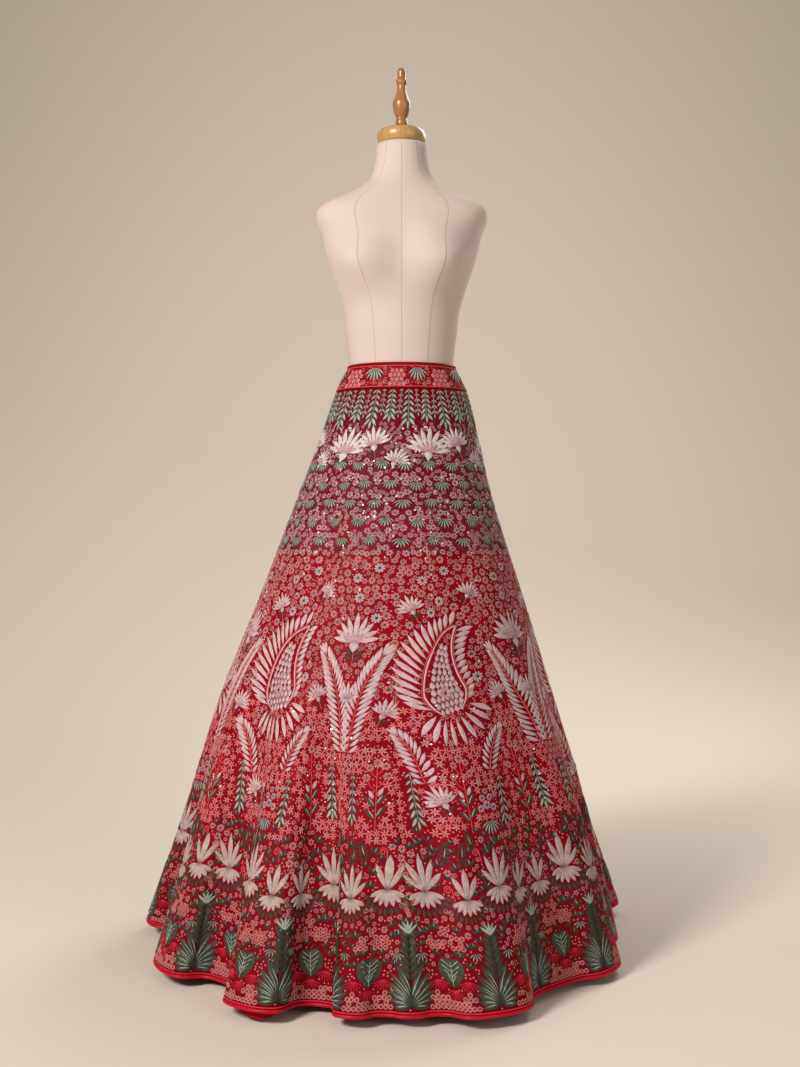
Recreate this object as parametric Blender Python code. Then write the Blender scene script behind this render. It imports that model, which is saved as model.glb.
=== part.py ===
"""A flared lehenga skirt of twelve panels, worn on a limbless dress form that stands by itself.

Metres, +Z up. The form faces -Y, and the origin is the middle of the stand's underside, on the floor.
The skirt is a wall of cloth carried round horizontal sections. Each section is a rounded oval near the
hips, and towards the hem it takes on the flutes in the FLUTES table. The panels divide the waist and
the hem into equal lengths of cloth, as panels cut from one pattern do.
"""

import math
from collections import namedtuple
from functools import lru_cache

import bmesh
import bpy
import numpy as np

# The skirt
PANELS = 12
PANEL_COLUMNS = 12  # faces across one panel
CLOTH = 0.0022  # embroidered silk with its backing
SEAM = 0.0003  # gap between pieces that are sewn together
BAND_TOP = 1.120
BAND_BOTTOM = 1.0750
BAND_CLOTH = 0.0030
BAND_GAP = 0.0006  # between the band and the form
HEM = 0.024
HEM_LIFT = 0.10  # how much of a flute's reach shows as a lift of its hem
SEAM_TURN_WAIST = 0.020  # share of the way round by which the seams are turned from the back's middle
SEAM_TURN_HEM = 0.031
WAIST_CORD_RADIUS = 0.0020
HEM_CORD_RADIUS = 0.0034

# The part of the lining that hangs out below the hem, front left
LINING_START = 0.12  # share of the panels' lowest row of faces at which it starts
LINING_CLOTH = 0.0012
LINING_GAP = 0.0008
LINING_DRIFT = 0.010  # how far it swings inwards at its lower edge
LINING_FIRST_COLUMN = 55
LINING_COLUMNS = 6

# The dress form and its stand
NECK_TOP = 1.5557
CAP_RADIUS = 0.0475
CAP_HEIGHT = 0.0305
TORSO_BOTTOM = 0.740
TORSO_SIDES = 48
BUST_HEIGHT = 1.318
BUST_DEPTH = 0.034
BUST_TURN = 0.62  # radians from the front to the middle of each cup
BUST_SPREAD = 0.46
BUST_RISE = 0.050
POLE_RADIUS = 0.0125
BASE_RADIUS = 0.160
BASE_THICKNESS = 0.008
BOSS_RADIUS = 0.024
BOSS_TOP = 0.046
FLANGE_RADIUS = 0.040
FLANGE_THICKNESS = 0.008

SAMPLES = 1560  # points round a section before it is divided into panels

# Smooth part of each section: its height, half its width, its reach to the front and to the back,
# and how far its middle lies to the right.
SkirtSection = namedtuple("SkirtSection", "height half_width front back shift")
SKIRT_SECTIONS = [
    SkirtSection(0.024, 0.452, 0.460, 0.466, -0.012),
    SkirtSection(0.240, 0.394, 0.398, 0.406, -0.018),
    SkirtSection(0.470, 0.328, 0.319, 0.328, -0.0285),
    SkirtSection(0.700, 0.2470, 0.236, 0.245, -0.0210),
    SkirtSection(0.860, 0.1915, 0.177, 0.185, -0.0145),
    SkirtSection(0.960, 0.1605, 0.141, 0.147, -0.007),
    SkirtSection(1.0250, 0.1420, 0.114, 0.118, -0.002),
    SkirtSection(1.0747, 0.1270, 0.0950, 0.0975, 0.0),
]

# Flutes of the hem, once round from the left: the ridge's turn from the front in degrees and its reach,
# the same of the valley that follows, how round the flute's sides are (over 1 they tuck under), and the
# share of the skirt's length, from the waist, at which the flute starts.
Flute = namedtuple("Flute", "ridge_turn ridge_reach valley_turn valley_reach roundness start")
FLUTES = [
    Flute(-104, 0.522, -84, 0.405, 0.90, 0.26),
    Flute(-62, 0.490, -47, 0.418, 0.95, 0.34),
    Flute(-29, 0.512, -18.5, 0.420, 1.10, 0.38),
    Flute(-9.5, 0.482, -4, 0.458, 0.40, 0.66),
    Flute(2, 0.471, 7, 0.458, 0.40, 0.70),
    Flute(15, 0.497, 43, 0.402, 0.60, 0.40),
    Flute(61, 0.440, 77, 0.385, 0.90, 0.36),
    Flute(92, 0.420, 105, 0.388, 0.85, 0.40),
    Flute(120, 0.514, 135, 0.415, 1.00, 0.30),
    Flute(150, 0.500, 162, 0.425, 0.90, 0.38),
    Flute(175, 0.512, 188, 0.420, 0.95, 0.32),
    Flute(202, 0.490, 214, 0.425, 0.90, 0.42),
    Flute(232, 0.515, 244, 0.430, 0.90, 0.36),
]
FLUTE_GROWTH = 1.35  # power by which a flute deepens towards the hem

# Heights of the rows of faces in a panel, from the waist down
PANEL_ROWS = [1.0747, 1.040, 0.985, 0.915, 0.825, 0.715, 0.595, 0.470, 0.345, 0.225, 0.115, 0.024]

# The dress form: height, half its width, its reach to the front and to the back, and how square its
# corners are (2 is an ellipse).
FormSection = namedtuple("FormSection", "height half_width front back squareness")
FORM_SECTIONS = [
    FormSection(0.740, 0.142, 0.098, 0.112, 2.2),
    FormSection(0.757, 0.152, 0.106, 0.122, 2.2),
    FormSection(0.820, 0.157, 0.109, 0.130, 2.2),
    FormSection(0.900, 0.154, 0.106, 0.128, 2.2),
    FormSection(0.965, 0.1465, 0.103, 0.117, 2.1),
    FormSection(1.025, 0.1350, 0.0985, 0.1035, 2.0),
    FormSection(1.0753, 0.1240, 0.0918, 0.0943, 2.0),
    FormSection(1.098, 0.1130, 0.0880, 0.0880, 2.0),
    FormSection(1.120, 0.1018, 0.0840, 0.0820, 2.1),
    FormSection(1.150, 0.1020, 0.0845, 0.0800, 2.1),
    FormSection(1.190, 0.1075, 0.0890, 0.0830, 2.1),
    FormSection(1.235, 0.1130, 0.0940, 0.0890, 2.1),
    FormSection(1.270, 0.1230, 0.0975, 0.0930, 2.15),
    FormSection(1.300, 0.1330, 0.0990, 0.0970, 2.15),
    FormSection(1.325, 0.1415, 0.0990, 0.0995, 2.2),
    FormSection(1.352, 0.1490, 0.0980, 0.1010, 2.25),
    FormSection(1.385, 0.1570, 0.0960, 0.1010, 2.35),
    FormSection(1.410, 0.1660, 0.0860, 0.0950, 2.45),
    FormSection(1.428, 0.1640, 0.0780, 0.0880, 2.4),
    FormSection(1.440, 0.1510, 0.0720, 0.0820, 2.3),
    FormSection(1.453, 0.1230, 0.0660, 0.0750, 2.2),
    FormSection(1.466, 0.0950, 0.0610, 0.0690, 2.1),
    FormSection(1.480, 0.0720, 0.0560, 0.0630, 2.0),
    FormSection(1.498, 0.0580, 0.0520, 0.0570, 2.0),
    FormSection(1.525, 0.0510, 0.0500, 0.0520, 2.0),
    FormSection(1.5557, 0.0485, 0.0485, 0.0490, 2.0),
]

# The turned finial, from the cap up: height over the cap and radius
Turning = namedtuple("Turning", "height radius")
FINIAL_TURNINGS = [
    Turning(0.0, 0.0135),
    Turning(0.004, 0.0112),
    Turning(0.0065, 0.0104),
    Turning(0.010, 0.0114),
    Turning(0.017, 0.0112),
    Turning(0.0205, 0.0104),
    Turning(0.031, 0.0138),
    Turning(0.044, 0.0168),
    Turning(0.052, 0.0170),
    Turning(0.062, 0.0132),
    Turning(0.074, 0.0094),
    Turning(0.085, 0.0084),
    Turning(0.094, 0.0108),
    Turning(0.101, 0.0082),
    Turning(0.115, 0.0076),
    Turning(0.119, 0.0056),
]
TURNING_SIDES = 24

CRIMSON = (0.52, 0.006, 0.018)
DEEP_RED = (0.30, 0.003, 0.012)
FORM_LINEN = (0.72, 0.58, 0.49)
TURNED_WOOD = (0.50, 0.24, 0.075)
STAND_STEEL = (0.55, 0.55, 0.56)


def material(name, colour, roughness, metallic=0.0):
    """A plain Principled finish."""
    made = bpy.data.materials.new(name)
    made.use_nodes = True
    shader = made.node_tree.nodes["Principled BSDF"]
    shader.inputs["Base Color"].default_value = (*colour, 1.0)
    shader.inputs["Roughness"].default_value = roughness
    shader.inputs["Metallic"].default_value = metallic
    return made


def add_object(name, data, finish):
    """Links a new object with that finish."""
    made = bpy.data.objects.new(name, data)
    data.materials.append(finish)
    bpy.context.scene.collection.objects.link(made)
    return made


def eased(rows, column, at):
    """The column's value at those heights, on a smooth curve through the table's rows."""
    heights = np.array([row.height for row in rows])
    values = np.array([getattr(row, column) for row in rows])
    slopes = np.gradient(values, heights)
    place = np.clip(np.searchsorted(heights, at, side="right") - 1, 0, len(heights) - 2)
    span = heights[place + 1] - heights[place]
    share = np.clip((at - heights[place]) / span, 0, 1)
    rising = share * share * (3 - 2 * share)
    start_slope = share * (1 - share) ** 2
    end_slope = share * share * (share - 1)
    return (
        values[place] * (1 - rising)
        + values[place + 1] * rising
        + span * (start_slope * slopes[place] + end_slope * slopes[place + 1])
    )


def oval_reach(turn, half_width, front, back, squareness=2.0):
    """Distance from the middle to a rounded oval, at a turn from the front."""
    depth = np.where(np.cos(turn) > 0, front, back)
    across = np.abs(np.sin(turn) / half_width) ** squareness
    along = np.abs(np.cos(turn) / depth) ** squareness
    return (across + along) ** (-1 / squareness)


def flute_nodes():
    """Turn, reach, roundness and start of every ridge and valley in order, with the first again at the end."""
    nodes = []
    for flute in FLUTES:
        nodes.append((flute.ridge_turn, flute.ridge_reach, flute.roundness, flute.start))
        nodes.append((flute.valley_turn, flute.valley_reach, flute.roundness, flute.start))
    first = nodes[0]
    nodes.append((first[0] + 360, *first[1:]))
    return np.array(nodes)


@lru_cache(maxsize=None)
def cloth_lines():
    """The lines that run down the cloth, once round: where each lies at the hem and at the waist.

    Rows: the line's share of the way round the hem from the back's middle, its turn, the bulge of its
    flute's side, its rise over the smooth section, its flute's start, and its drift to the waist.
    """
    nodes = flute_nodes()
    way = np.linspace(0, len(nodes) - 1, SAMPLES + 1)
    place = np.minimum(way.astype(int), len(nodes) - 2)
    share = way - place
    swing = (1 - np.cos(math.pi * share)) / 2
    turn_from, reach_from, roundness, start_from = nodes[place].T
    turn_to, reach_to, _, start_to = nodes[place + 1].T
    turn = np.radians(turn_from + (turn_to - turn_from) * share)
    width = np.radians(turn_to - turn_from)
    bulge = roundness * width * np.sin(2 * math.pi * share) / (2 * math.pi)
    reach = reach_from + (reach_to - reach_from) * swing
    start = start_from + (start_to - start_from) * swing
    hem = SKIRT_SECTIONS[0]
    rise = reach - oval_reach(turn + bulge, hem.half_width, hem.front, hem.back)
    hem_share = way_round(turn + bulge, reach)
    hem_share = hem_share - np.interp(math.pi, turn, hem_share)
    # The same length of cloth, as a share, lies between two lines at the waist and at the hem
    waist = SKIRT_SECTIONS[-1]
    waist_turn = np.linspace(-math.pi, math.pi, 721)
    waist_reach = oval_reach(waist_turn, waist.half_width, waist.front, waist.back)
    waist_share = way_round(waist_turn, waist_reach)
    wanted = hem_share - SEAM_TURN_HEM + SEAM_TURN_WAIST
    whole = np.floor(wanted)
    drift = np.interp(wanted - whole, waist_share, waist_turn) + 2 * math.pi * (whole + 1) - turn
    return np.array([hem_share, turn, bulge, rise, start, drift])


def way_round(turn, reach):
    """The share of the way round at each point of a closed line, from its first point."""
    x = reach * np.sin(turn)
    y = reach * np.cos(turn)
    steps = np.hypot(np.diff(x), np.diff(y))
    return np.concatenate([[0], np.cumsum(steps)]) / steps.sum()


def skirt_points(height, shares):
    """The skirt's outside at one height, at those shares of the way round from the first seam."""
    hem_share, *rows = cloth_lines()
    at = (np.asarray(shares) + SEAM_TURN_HEM - hem_share[0]) % 1.0 + hem_share[0]
    turn, bulge, rise, start, drift = (np.interp(at, hem_share, row) for row in rows)
    down = (BAND_BOTTOM - height) / (BAND_BOTTOM - HEM)
    depth = np.clip((down - start) / (1 - start), 0, 1) ** FLUTE_GROWTH
    # A line runs straight from waist to hem, so its turn changes faster near the waist
    waist, hem = SKIRT_SECTIONS[-1], SKIRT_SECTIONS[0]
    near_waist = (1 - down) * waist.half_width
    turn = turn + bulge * depth + drift * near_waist / (near_waist + down * hem.half_width)
    half_width, front, back, shift = (
        float(eased(SKIRT_SECTIONS, column, np.array([height]))[0])
        for column in ("half_width", "front", "back", "shift")
    )
    reach = oval_reach(turn, half_width, front, back) + depth * rise
    x = shift * (1 - depth) + reach * np.sin(turn)
    y = -reach * np.cos(turn)
    z = height + HEM_LIFT * rise * depth**4
    return np.stack([x, y, z], axis=1)


def cloth_grid(heights, shares):
    """Outside points and outward normals of the skirt, one row for each height."""
    small = 1e-3
    places, normals = [], []
    for height in heights:
        low, high = max(height - 0.004, HEM), min(height + 0.004, SKIRT_SECTIONS[-1].height)
        across = skirt_points(height, shares + small) - skirt_points(height, shares - small)
        down = skirt_points(low, shares) - skirt_points(high, shares)
        normal = np.cross(down, across)
        normals.append(normal / np.linalg.norm(normal, axis=1, keepdims=True))
        places.append(skirt_points(height, shares))
    return np.array(places), np.array(normals)


def wall_mesh(name, outer, inner):
    """A closed mesh from two grids of points, an outside and an inside one, joined round their rims."""
    rows, columns = outer.shape[:2]
    shape = bmesh.new()
    sheets = []
    for grid in (outer, inner):
        sheets.append([[shape.verts.new(point) for point in row] for row in grid.tolist()])
    for row in range(rows - 1):
        for column in range(columns - 1):
            for sheet in sheets:
                shape.faces.new(
                    [
                        sheet[row][column],
                        sheet[row][column + 1],
                        sheet[row + 1][column + 1],
                        sheet[row + 1][column],
                    ]
                )
    front, back = sheets
    for row in (0, rows - 1):
        for column in range(columns - 1):
            shape.faces.new(
                [front[row][column], front[row][column + 1], back[row][column + 1], back[row][column]]
            )
    for column in (0, columns - 1):
        for row in range(rows - 1):
            shape.faces.new(
                [front[row][column], front[row + 1][column], back[row + 1][column], back[row][column]]
            )
    return finished_mesh(name, shape)


def finished_mesh(name, shape):
    """A mesh with its faces pointing out, shaded smooth but for its sharp edges."""
    bmesh.ops.recalc_face_normals(shape, faces=shape.faces)
    mesh = bpy.data.meshes.new(name)
    shape.to_mesh(mesh)
    shape.free()
    mesh.shade_smooth()
    mesh.set_sharp_from_angle(angle=math.radians(50))
    return mesh


def lofted_mesh(name, rings):
    """A closed mesh through rings of points, bottom to top, with a flat face at either end."""
    shape = bmesh.new()
    loops = [[shape.verts.new(point) for point in ring] for ring in np.asarray(rings).tolist()]
    for low, high in zip(loops, loops[1:]):
        count = len(low)
        for side in range(count):
            following = (side + 1) % count
            shape.faces.new([low[side], low[following], high[following], high[side]])
    shape.faces.new(loops[0])
    shape.faces.new(loops[-1])
    return finished_mesh(name, shape)


def ring(height, radius, sides):
    """A level circle of points round the stand's axis."""
    turn = np.linspace(0, 2 * math.pi, sides, endpoint=False)
    return np.stack([radius * np.cos(turn), radius * np.sin(turn), np.full(sides, height)], axis=1)


def turned_piece(name, outline, sides, finish):
    """A piece turned round the stand's axis, from heights and radii, bottom to top."""
    rings = [ring(height, radius, sides) for height, radius in outline]
    return add_object(name, lofted_mesh(name, rings), finish)


def form_ring(height, sides, out=0.0):
    """The dress form's outline at one height, grown outwards by a small distance."""
    turn = np.linspace(0, 2 * math.pi, sides, endpoint=False)
    size = {
        column: float(eased(FORM_SECTIONS, column, np.array([height]))[0])
        for column in ("half_width", "front", "back", "squareness")
    }
    reach = oval_reach(turn, size["half_width"], size["front"], size["back"], size["squareness"])
    level = math.exp(-(((height - BUST_HEIGHT) / BUST_RISE) ** 2))
    for side in (-1, 1):
        away = (turn - side * BUST_TURN + math.pi) % (2 * math.pi) - math.pi
        reach = reach + BUST_DEPTH * level * np.exp(-((away / BUST_SPREAD) ** 2))
    reach = reach + out
    return np.stack([reach * np.sin(turn), -reach * np.cos(turn), np.full(sides, height)], axis=1)


def torso(finish):
    """The padded body of the dress form, closed flat under the hips and at the top of the neck."""
    rings = [form_ring(section.height, TORSO_SIDES) for section in FORM_SECTIONS]
    return add_object("form_torso", lofted_mesh("form_torso", rings), finish)


def neck_cap(finish):
    """The bun-shaped wooden cap on the neck."""
    bottom = NECK_TOP + SEAM
    outline = [(bottom, CAP_RADIUS * 0.89)]
    for step in range(1, 8):
        turn = math.pi * step / 8
        height = bottom + CAP_HEIGHT * (0.36 - 0.36 * math.cos(turn)) / 0.72
        outline.append((height, CAP_RADIUS * (0.62 + 0.38 * math.sin(turn) ** 0.55)))
    outline.append((bottom + CAP_HEIGHT, CAP_RADIUS * 0.56))
    return turned_piece("form_cap", outline, TURNING_SIDES, finish)


def finial(finish):
    """The turned wooden finial on the cap."""
    foot = NECK_TOP + SEAM + CAP_HEIGHT + SEAM
    outline = [(foot + turning.height, turning.radius) for turning in FINIAL_TURNINGS]
    return turned_piece("form_finial", outline, TURNING_SIDES, finish)


def stand(finish):
    """The round foot with its boss, the pole, and the flange under the form."""
    foot = [
        (0.0, BASE_RADIUS),
        (BASE_THICKNESS * 0.6, BASE_RADIUS),
        (BASE_THICKNESS, BASE_RADIUS - 0.006),
        (BASE_THICKNESS + 0.002, BOSS_RADIUS + 0.006),
        (BOSS_TOP - 0.003, BOSS_RADIUS),
        (BOSS_TOP, BOSS_RADIUS - 0.003),
    ]
    turned_piece("stand_foot", foot, 40, finish)
    flange_bottom = TORSO_BOTTOM - SEAM - FLANGE_THICKNESS
    pole = [(BOSS_TOP + SEAM, POLE_RADIUS), (flange_bottom - SEAM, POLE_RADIUS)]
    turned_piece("stand_pole", pole, 16, finish)
    flange = [
        (flange_bottom, FLANGE_RADIUS - 0.002),
        (flange_bottom + 0.002, FLANGE_RADIUS),
        (TORSO_BOTTOM - SEAM, FLANGE_RADIUS),
    ]
    turned_piece("stand_flange", flange, 24, finish)


def waistband(finish):
    """The fitted band, in a front and a back half that meet at the side seams."""
    heights = [BAND_TOP, 1.098, BAND_BOTTOM + SEAM]
    sides = 48
    for name, first in (("waistband_front", -sides // 4), ("waistband_back", sides // 4)):
        columns = np.arange(first, first + sides // 2 + 1) % sides
        outer = np.array([form_ring(h, sides, BAND_GAP + BAND_CLOTH)[columns] for h in heights])
        inner = np.array([form_ring(h, sides, BAND_GAP)[columns] for h in heights])
        # Each half stops a seam's gap short of the side, in depth
        keep = -1 if name == "waistband_front" else 1
        for grid in (outer, inner):
            grid[:, [0, -1], 1] += keep * SEAM / 2
        add_object(name, wall_mesh(name, outer, inner), finish)


def closed_cord(name, points, radius, finish):
    """A round cord through a closed line of points."""
    curve = bpy.data.curves.new(name, "CURVE")
    curve.dimensions = "3D"
    curve.bevel_depth = radius
    curve.bevel_resolution = 1
    spline = curve.splines.new("POLY")
    spline.points.add(len(points) - 1)
    spline.points.foreach_set("co", np.column_stack([points, np.ones(len(points))]).ravel())
    spline.use_cyclic_u = True
    return add_object(name, curve, finish)


def waist_cord(finish):
    """The piping on the band's top edge."""
    line = form_ring(BAND_TOP, 48, BAND_GAP + WAIST_CORD_RADIUS)
    line[:, 2] = BAND_TOP + SEAM + WAIST_CORD_RADIUS
    return closed_cord("waist_piping", line, WAIST_CORD_RADIUS, finish)


def panels(finish):
    """The twelve flared panels, sewn edge to edge."""
    made = []
    for number in range(PANELS):
        shares = np.linspace(number, number + 1, PANEL_COLUMNS + 1) / PANELS
        outer_rows, inner_rows = [], []
        for height in PANEL_ROWS:
            ends = skirt_points(height, shares)
            face = np.linalg.norm(ends[[1, -1]] - ends[[0, -2]], axis=1)
            trimmed = shares.copy()
            trimmed[[0, -1]] += np.array([SEAM, -SEAM]) / 2 / face / PANELS / PANEL_COLUMNS
            points, normals = cloth_grid([height], trimmed)
            outer_rows.append(points[0])
            inner_rows.append(points[0] - CLOTH * level_at_waist(normals[0], height))
        name = f"panel_{number + 1:02d}"
        mesh = wall_mesh(name, np.array(outer_rows), np.array(inner_rows))
        made.append(add_object(name, mesh, finish))
    return made


def level_at_waist(normals, height):
    """Normals laid level in the waist's and the hem's rows, so that those edges stay flat."""
    if PANEL_ROWS[-1] < height < PANEL_ROWS[0]:
        return normals
    flat = normals * np.array([1.0, 1.0, 0.0])
    return flat / np.linalg.norm(flat, axis=1, keepdims=True)


def hem_cord(finish):
    """The corded edge under the hem, all the way round."""
    shares = np.arange(PANELS * PANEL_COLUMNS) / (PANELS * PANEL_COLUMNS)
    points, normals = cloth_grid([PANEL_ROWS[-1]], shares)
    line = points[0] - CLOTH / 2 * level_at_waist(normals[0], PANEL_ROWS[-1])
    line[:, 2] -= SEAM + HEM_CORD_RADIUS + 0.0002
    return closed_cord("hem_piping", line, HEM_CORD_RADIUS, finish)


def lining_flap(finish):
    """The lining's fold that hangs below the hem, inside the front left flute."""
    column_share = 1 / (PANELS * PANEL_COLUMNS)
    first = LINING_FIRST_COLUMN * column_share
    shares = first + np.arange(LINING_COLUMNS + 1) * column_share
    across = np.linspace(0, 1, LINING_COLUMNS + 1)
    # The lower edge sags to a point, three fifths of the way across
    point_at = 0.62
    edge = np.where(across < point_at, across / point_at, (1 - across) / (1 - point_at))
    lowest = 0.016 - 0.011 * edge**1.5
    # It follows the panel's lowest row of faces, from near that row's top down to the hem
    (upper, lower), (upper_normals, lower_normals) = cloth_grid(PANEL_ROWS[-2:], shares)
    outer_rows, inner_rows = [], []
    for step in np.linspace(0, 1, 6):
        down = LINING_START + (1 - LINING_START) * step
        inward = -level_at_waist(upper_normals * (1 - down) + lower_normals * down, HEM)
        gap = CLOTH + LINING_GAP + LINING_DRIFT * step**1.5
        outside = upper * (1 - down) + lower * down + inward * gap
        outside[:, 2] += step**2 * (lowest - outside[:, 2])
        outer_rows.append(outside)
        inner_rows.append(outside + inward * LINING_CLOTH)
    mesh = wall_mesh("lining_flap", np.array(outer_rows), np.array(inner_rows))
    return add_object("lining_flap", mesh, finish)


def main():
    for old in list(bpy.data.objects):
        bpy.data.objects.remove(old)
    embroidered = material("embroidered_silk", CRIMSON, 0.7)
    piping = material("piping_silk", DEEP_RED, 0.5)
    linen = material("form_linen", FORM_LINEN, 0.85)
    wood = material("turned_wood", TURNED_WOOD, 0.35)
    steel = material("stand_steel", STAND_STEEL, 0.35, metallic=1.0)
    torso(linen)
    neck_cap(wood)
    finial(wood)
    stand(steel)
    waistband(embroidered)
    waist_cord(piping)
    panels(embroidered)
    hem_cord(piping)
    lining_flap(piping)


main()
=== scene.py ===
"""The lehenga skirt on its form, dressed: fine cloth with thread embroidery, trims, form, floor and light.

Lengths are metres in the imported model's frame. The embroidery is drawn flat, for one panel, as motifs in
(across, up from the hem, height off the cloth). It is then laid on the cloth of all twelve panels.
"""

import math
from collections import namedtuple

import bpy
import numpy as np
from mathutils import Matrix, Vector

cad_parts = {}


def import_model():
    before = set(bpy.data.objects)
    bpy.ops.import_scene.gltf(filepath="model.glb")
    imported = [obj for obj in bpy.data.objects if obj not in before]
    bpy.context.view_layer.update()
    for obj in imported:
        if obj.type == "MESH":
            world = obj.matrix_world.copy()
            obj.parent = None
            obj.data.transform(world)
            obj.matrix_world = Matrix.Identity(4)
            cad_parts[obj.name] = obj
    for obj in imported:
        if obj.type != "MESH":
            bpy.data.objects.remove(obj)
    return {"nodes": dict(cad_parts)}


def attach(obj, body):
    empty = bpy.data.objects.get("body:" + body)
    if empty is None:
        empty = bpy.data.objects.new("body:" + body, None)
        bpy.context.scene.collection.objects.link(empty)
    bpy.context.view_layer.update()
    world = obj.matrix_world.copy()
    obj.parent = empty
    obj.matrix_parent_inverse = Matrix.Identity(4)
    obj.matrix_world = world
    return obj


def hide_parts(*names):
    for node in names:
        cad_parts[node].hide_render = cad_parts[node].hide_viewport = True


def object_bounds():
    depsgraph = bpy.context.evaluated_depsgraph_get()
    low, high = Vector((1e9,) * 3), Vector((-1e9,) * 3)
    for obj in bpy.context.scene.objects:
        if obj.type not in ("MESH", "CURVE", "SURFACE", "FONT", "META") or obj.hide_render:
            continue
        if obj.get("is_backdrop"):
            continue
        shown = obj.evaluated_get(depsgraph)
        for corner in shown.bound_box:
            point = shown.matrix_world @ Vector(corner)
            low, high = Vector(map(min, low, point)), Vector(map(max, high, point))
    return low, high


MM = 0.001
TAU = 2 * math.pi

# ---- The skirt's sizes, as its maker's model has them
PANELS = 12
CLOTH = 0.0022
SEAM = 0.0003
BAND_TOP = 1.120
BAND_BOTTOM = 1.0750
BAND_CLOTH = 0.0030
BAND_GAP = 0.0006
HEM = 0.024
HEM_LIFT = 0.10
SEAM_TURN_WAIST = 0.020
SEAM_TURN_HEM = 0.031
FLUTE_GROWTH = 1.35
WAIST_CORD_RADIUS = 0.0020
HEM_CORD_RADIUS = 0.0034
SAMPLES = 1560

# The skirt's level sections: height, half width, depth to the front and to the back, shift across
SKIRT_SECTIONS = np.array([
    (0.024, 0.452, 0.460, 0.466, -0.012),
    (0.240, 0.394, 0.398, 0.406, -0.018),
    (0.470, 0.328, 0.319, 0.328, -0.0285),
    (0.700, 0.2470, 0.236, 0.245, -0.0210),
    (0.860, 0.1915, 0.177, 0.185, -0.0145),
    (0.960, 0.1605, 0.141, 0.147, -0.007),
    (1.0250, 0.1420, 0.114, 0.118, -0.002),
    (1.0747, 0.1270, 0.0950, 0.0975, 0.0),
])
# The flutes at the hem: ridge's turn and reach, valley's turn and reach, roundness, how far down they start
FLUTES = [
    (-104, 0.522, -84, 0.405, 0.90, 0.26),
    (-62, 0.490, -47, 0.418, 0.95, 0.34),
    (-29, 0.512, -18.5, 0.420, 1.10, 0.38),
    (-9.5, 0.482, -4, 0.458, 0.40, 0.66),
    (2, 0.471, 7, 0.458, 0.40, 0.70),
    (15, 0.497, 43, 0.402, 0.60, 0.40),
    (61, 0.440, 77, 0.385, 0.90, 0.36),
    (92, 0.420, 105, 0.388, 0.85, 0.40),
    (120, 0.514, 135, 0.415, 1.00, 0.30),
    (150, 0.500, 162, 0.425, 0.90, 0.38),
    (175, 0.512, 188, 0.420, 0.95, 0.32),
    (202, 0.490, 214, 0.425, 0.90, 0.42),
    (232, 0.515, 244, 0.430, 0.90, 0.36),
]
# The form's level sections: height, half width, depth to the front and to the back, squareness
FORM_SECTIONS = np.array([
    (0.740, 0.142, 0.098, 0.112, 2.2),
    (0.757, 0.152, 0.106, 0.122, 2.2),
    (0.820, 0.157, 0.109, 0.130, 2.2),
    (0.900, 0.154, 0.106, 0.128, 2.2),
    (0.965, 0.1465, 0.103, 0.117, 2.1),
    (1.025, 0.1350, 0.0985, 0.1035, 2.0),
    (1.0753, 0.1240, 0.0918, 0.0943, 2.0),
    (1.098, 0.1130, 0.0880, 0.0880, 2.0),
    (1.120, 0.1018, 0.0840, 0.0820, 2.1),
    (1.150, 0.1020, 0.0845, 0.0800, 2.1),
    (1.190, 0.1075, 0.0890, 0.0830, 2.1),
    (1.235, 0.1130, 0.0940, 0.0890, 2.1),
    (1.270, 0.1230, 0.0975, 0.0930, 2.15),
    (1.300, 0.1330, 0.0990, 0.0970, 2.15),
    (1.325, 0.1415, 0.0990, 0.0995, 2.2),
    (1.352, 0.1490, 0.0980, 0.1010, 2.25),
    (1.385, 0.1570, 0.0960, 0.1010, 2.35),
    (1.410, 0.1660, 0.0860, 0.0950, 2.45),
    (1.428, 0.1640, 0.0780, 0.0880, 2.4),
    (1.440, 0.1510, 0.0720, 0.0820, 2.3),
    (1.453, 0.1230, 0.0660, 0.0750, 2.2),
    (1.466, 0.0950, 0.0610, 0.0690, 2.1),
    (1.480, 0.0720, 0.0560, 0.0630, 2.0),
    (1.498, 0.0580, 0.0520, 0.0570, 2.0),
    (1.525, 0.0510, 0.0500, 0.0520, 2.0),
    (1.5557, 0.0485, 0.0485, 0.0490, 2.0),
])
BUST_HEIGHT = 1.318
BUST_DEPTH = 0.034
BUST_TURN = 0.62
BUST_SPREAD = 0.46
BUST_RISE = 0.050
CAP_BOTTOM = 1.5557 + SEAM
CAP_RADIUS = 0.0475
CAP_HEIGHT = 0.0305
# The finial's outline above its foot: height and radius, in mm
FINIAL = (
    (0, 13.5), (4, 11.2), (6.5, 10.4), (10, 11.4), (17, 11.2), (20.5, 10.4), (31, 13.8), (44, 16.8),
    (52, 17.0), (62, 13.2), (74, 9.4), (85, 8.4), (94, 10.8), (101, 8.2), (115, 7.6), (119, 5.6),
)

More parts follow.
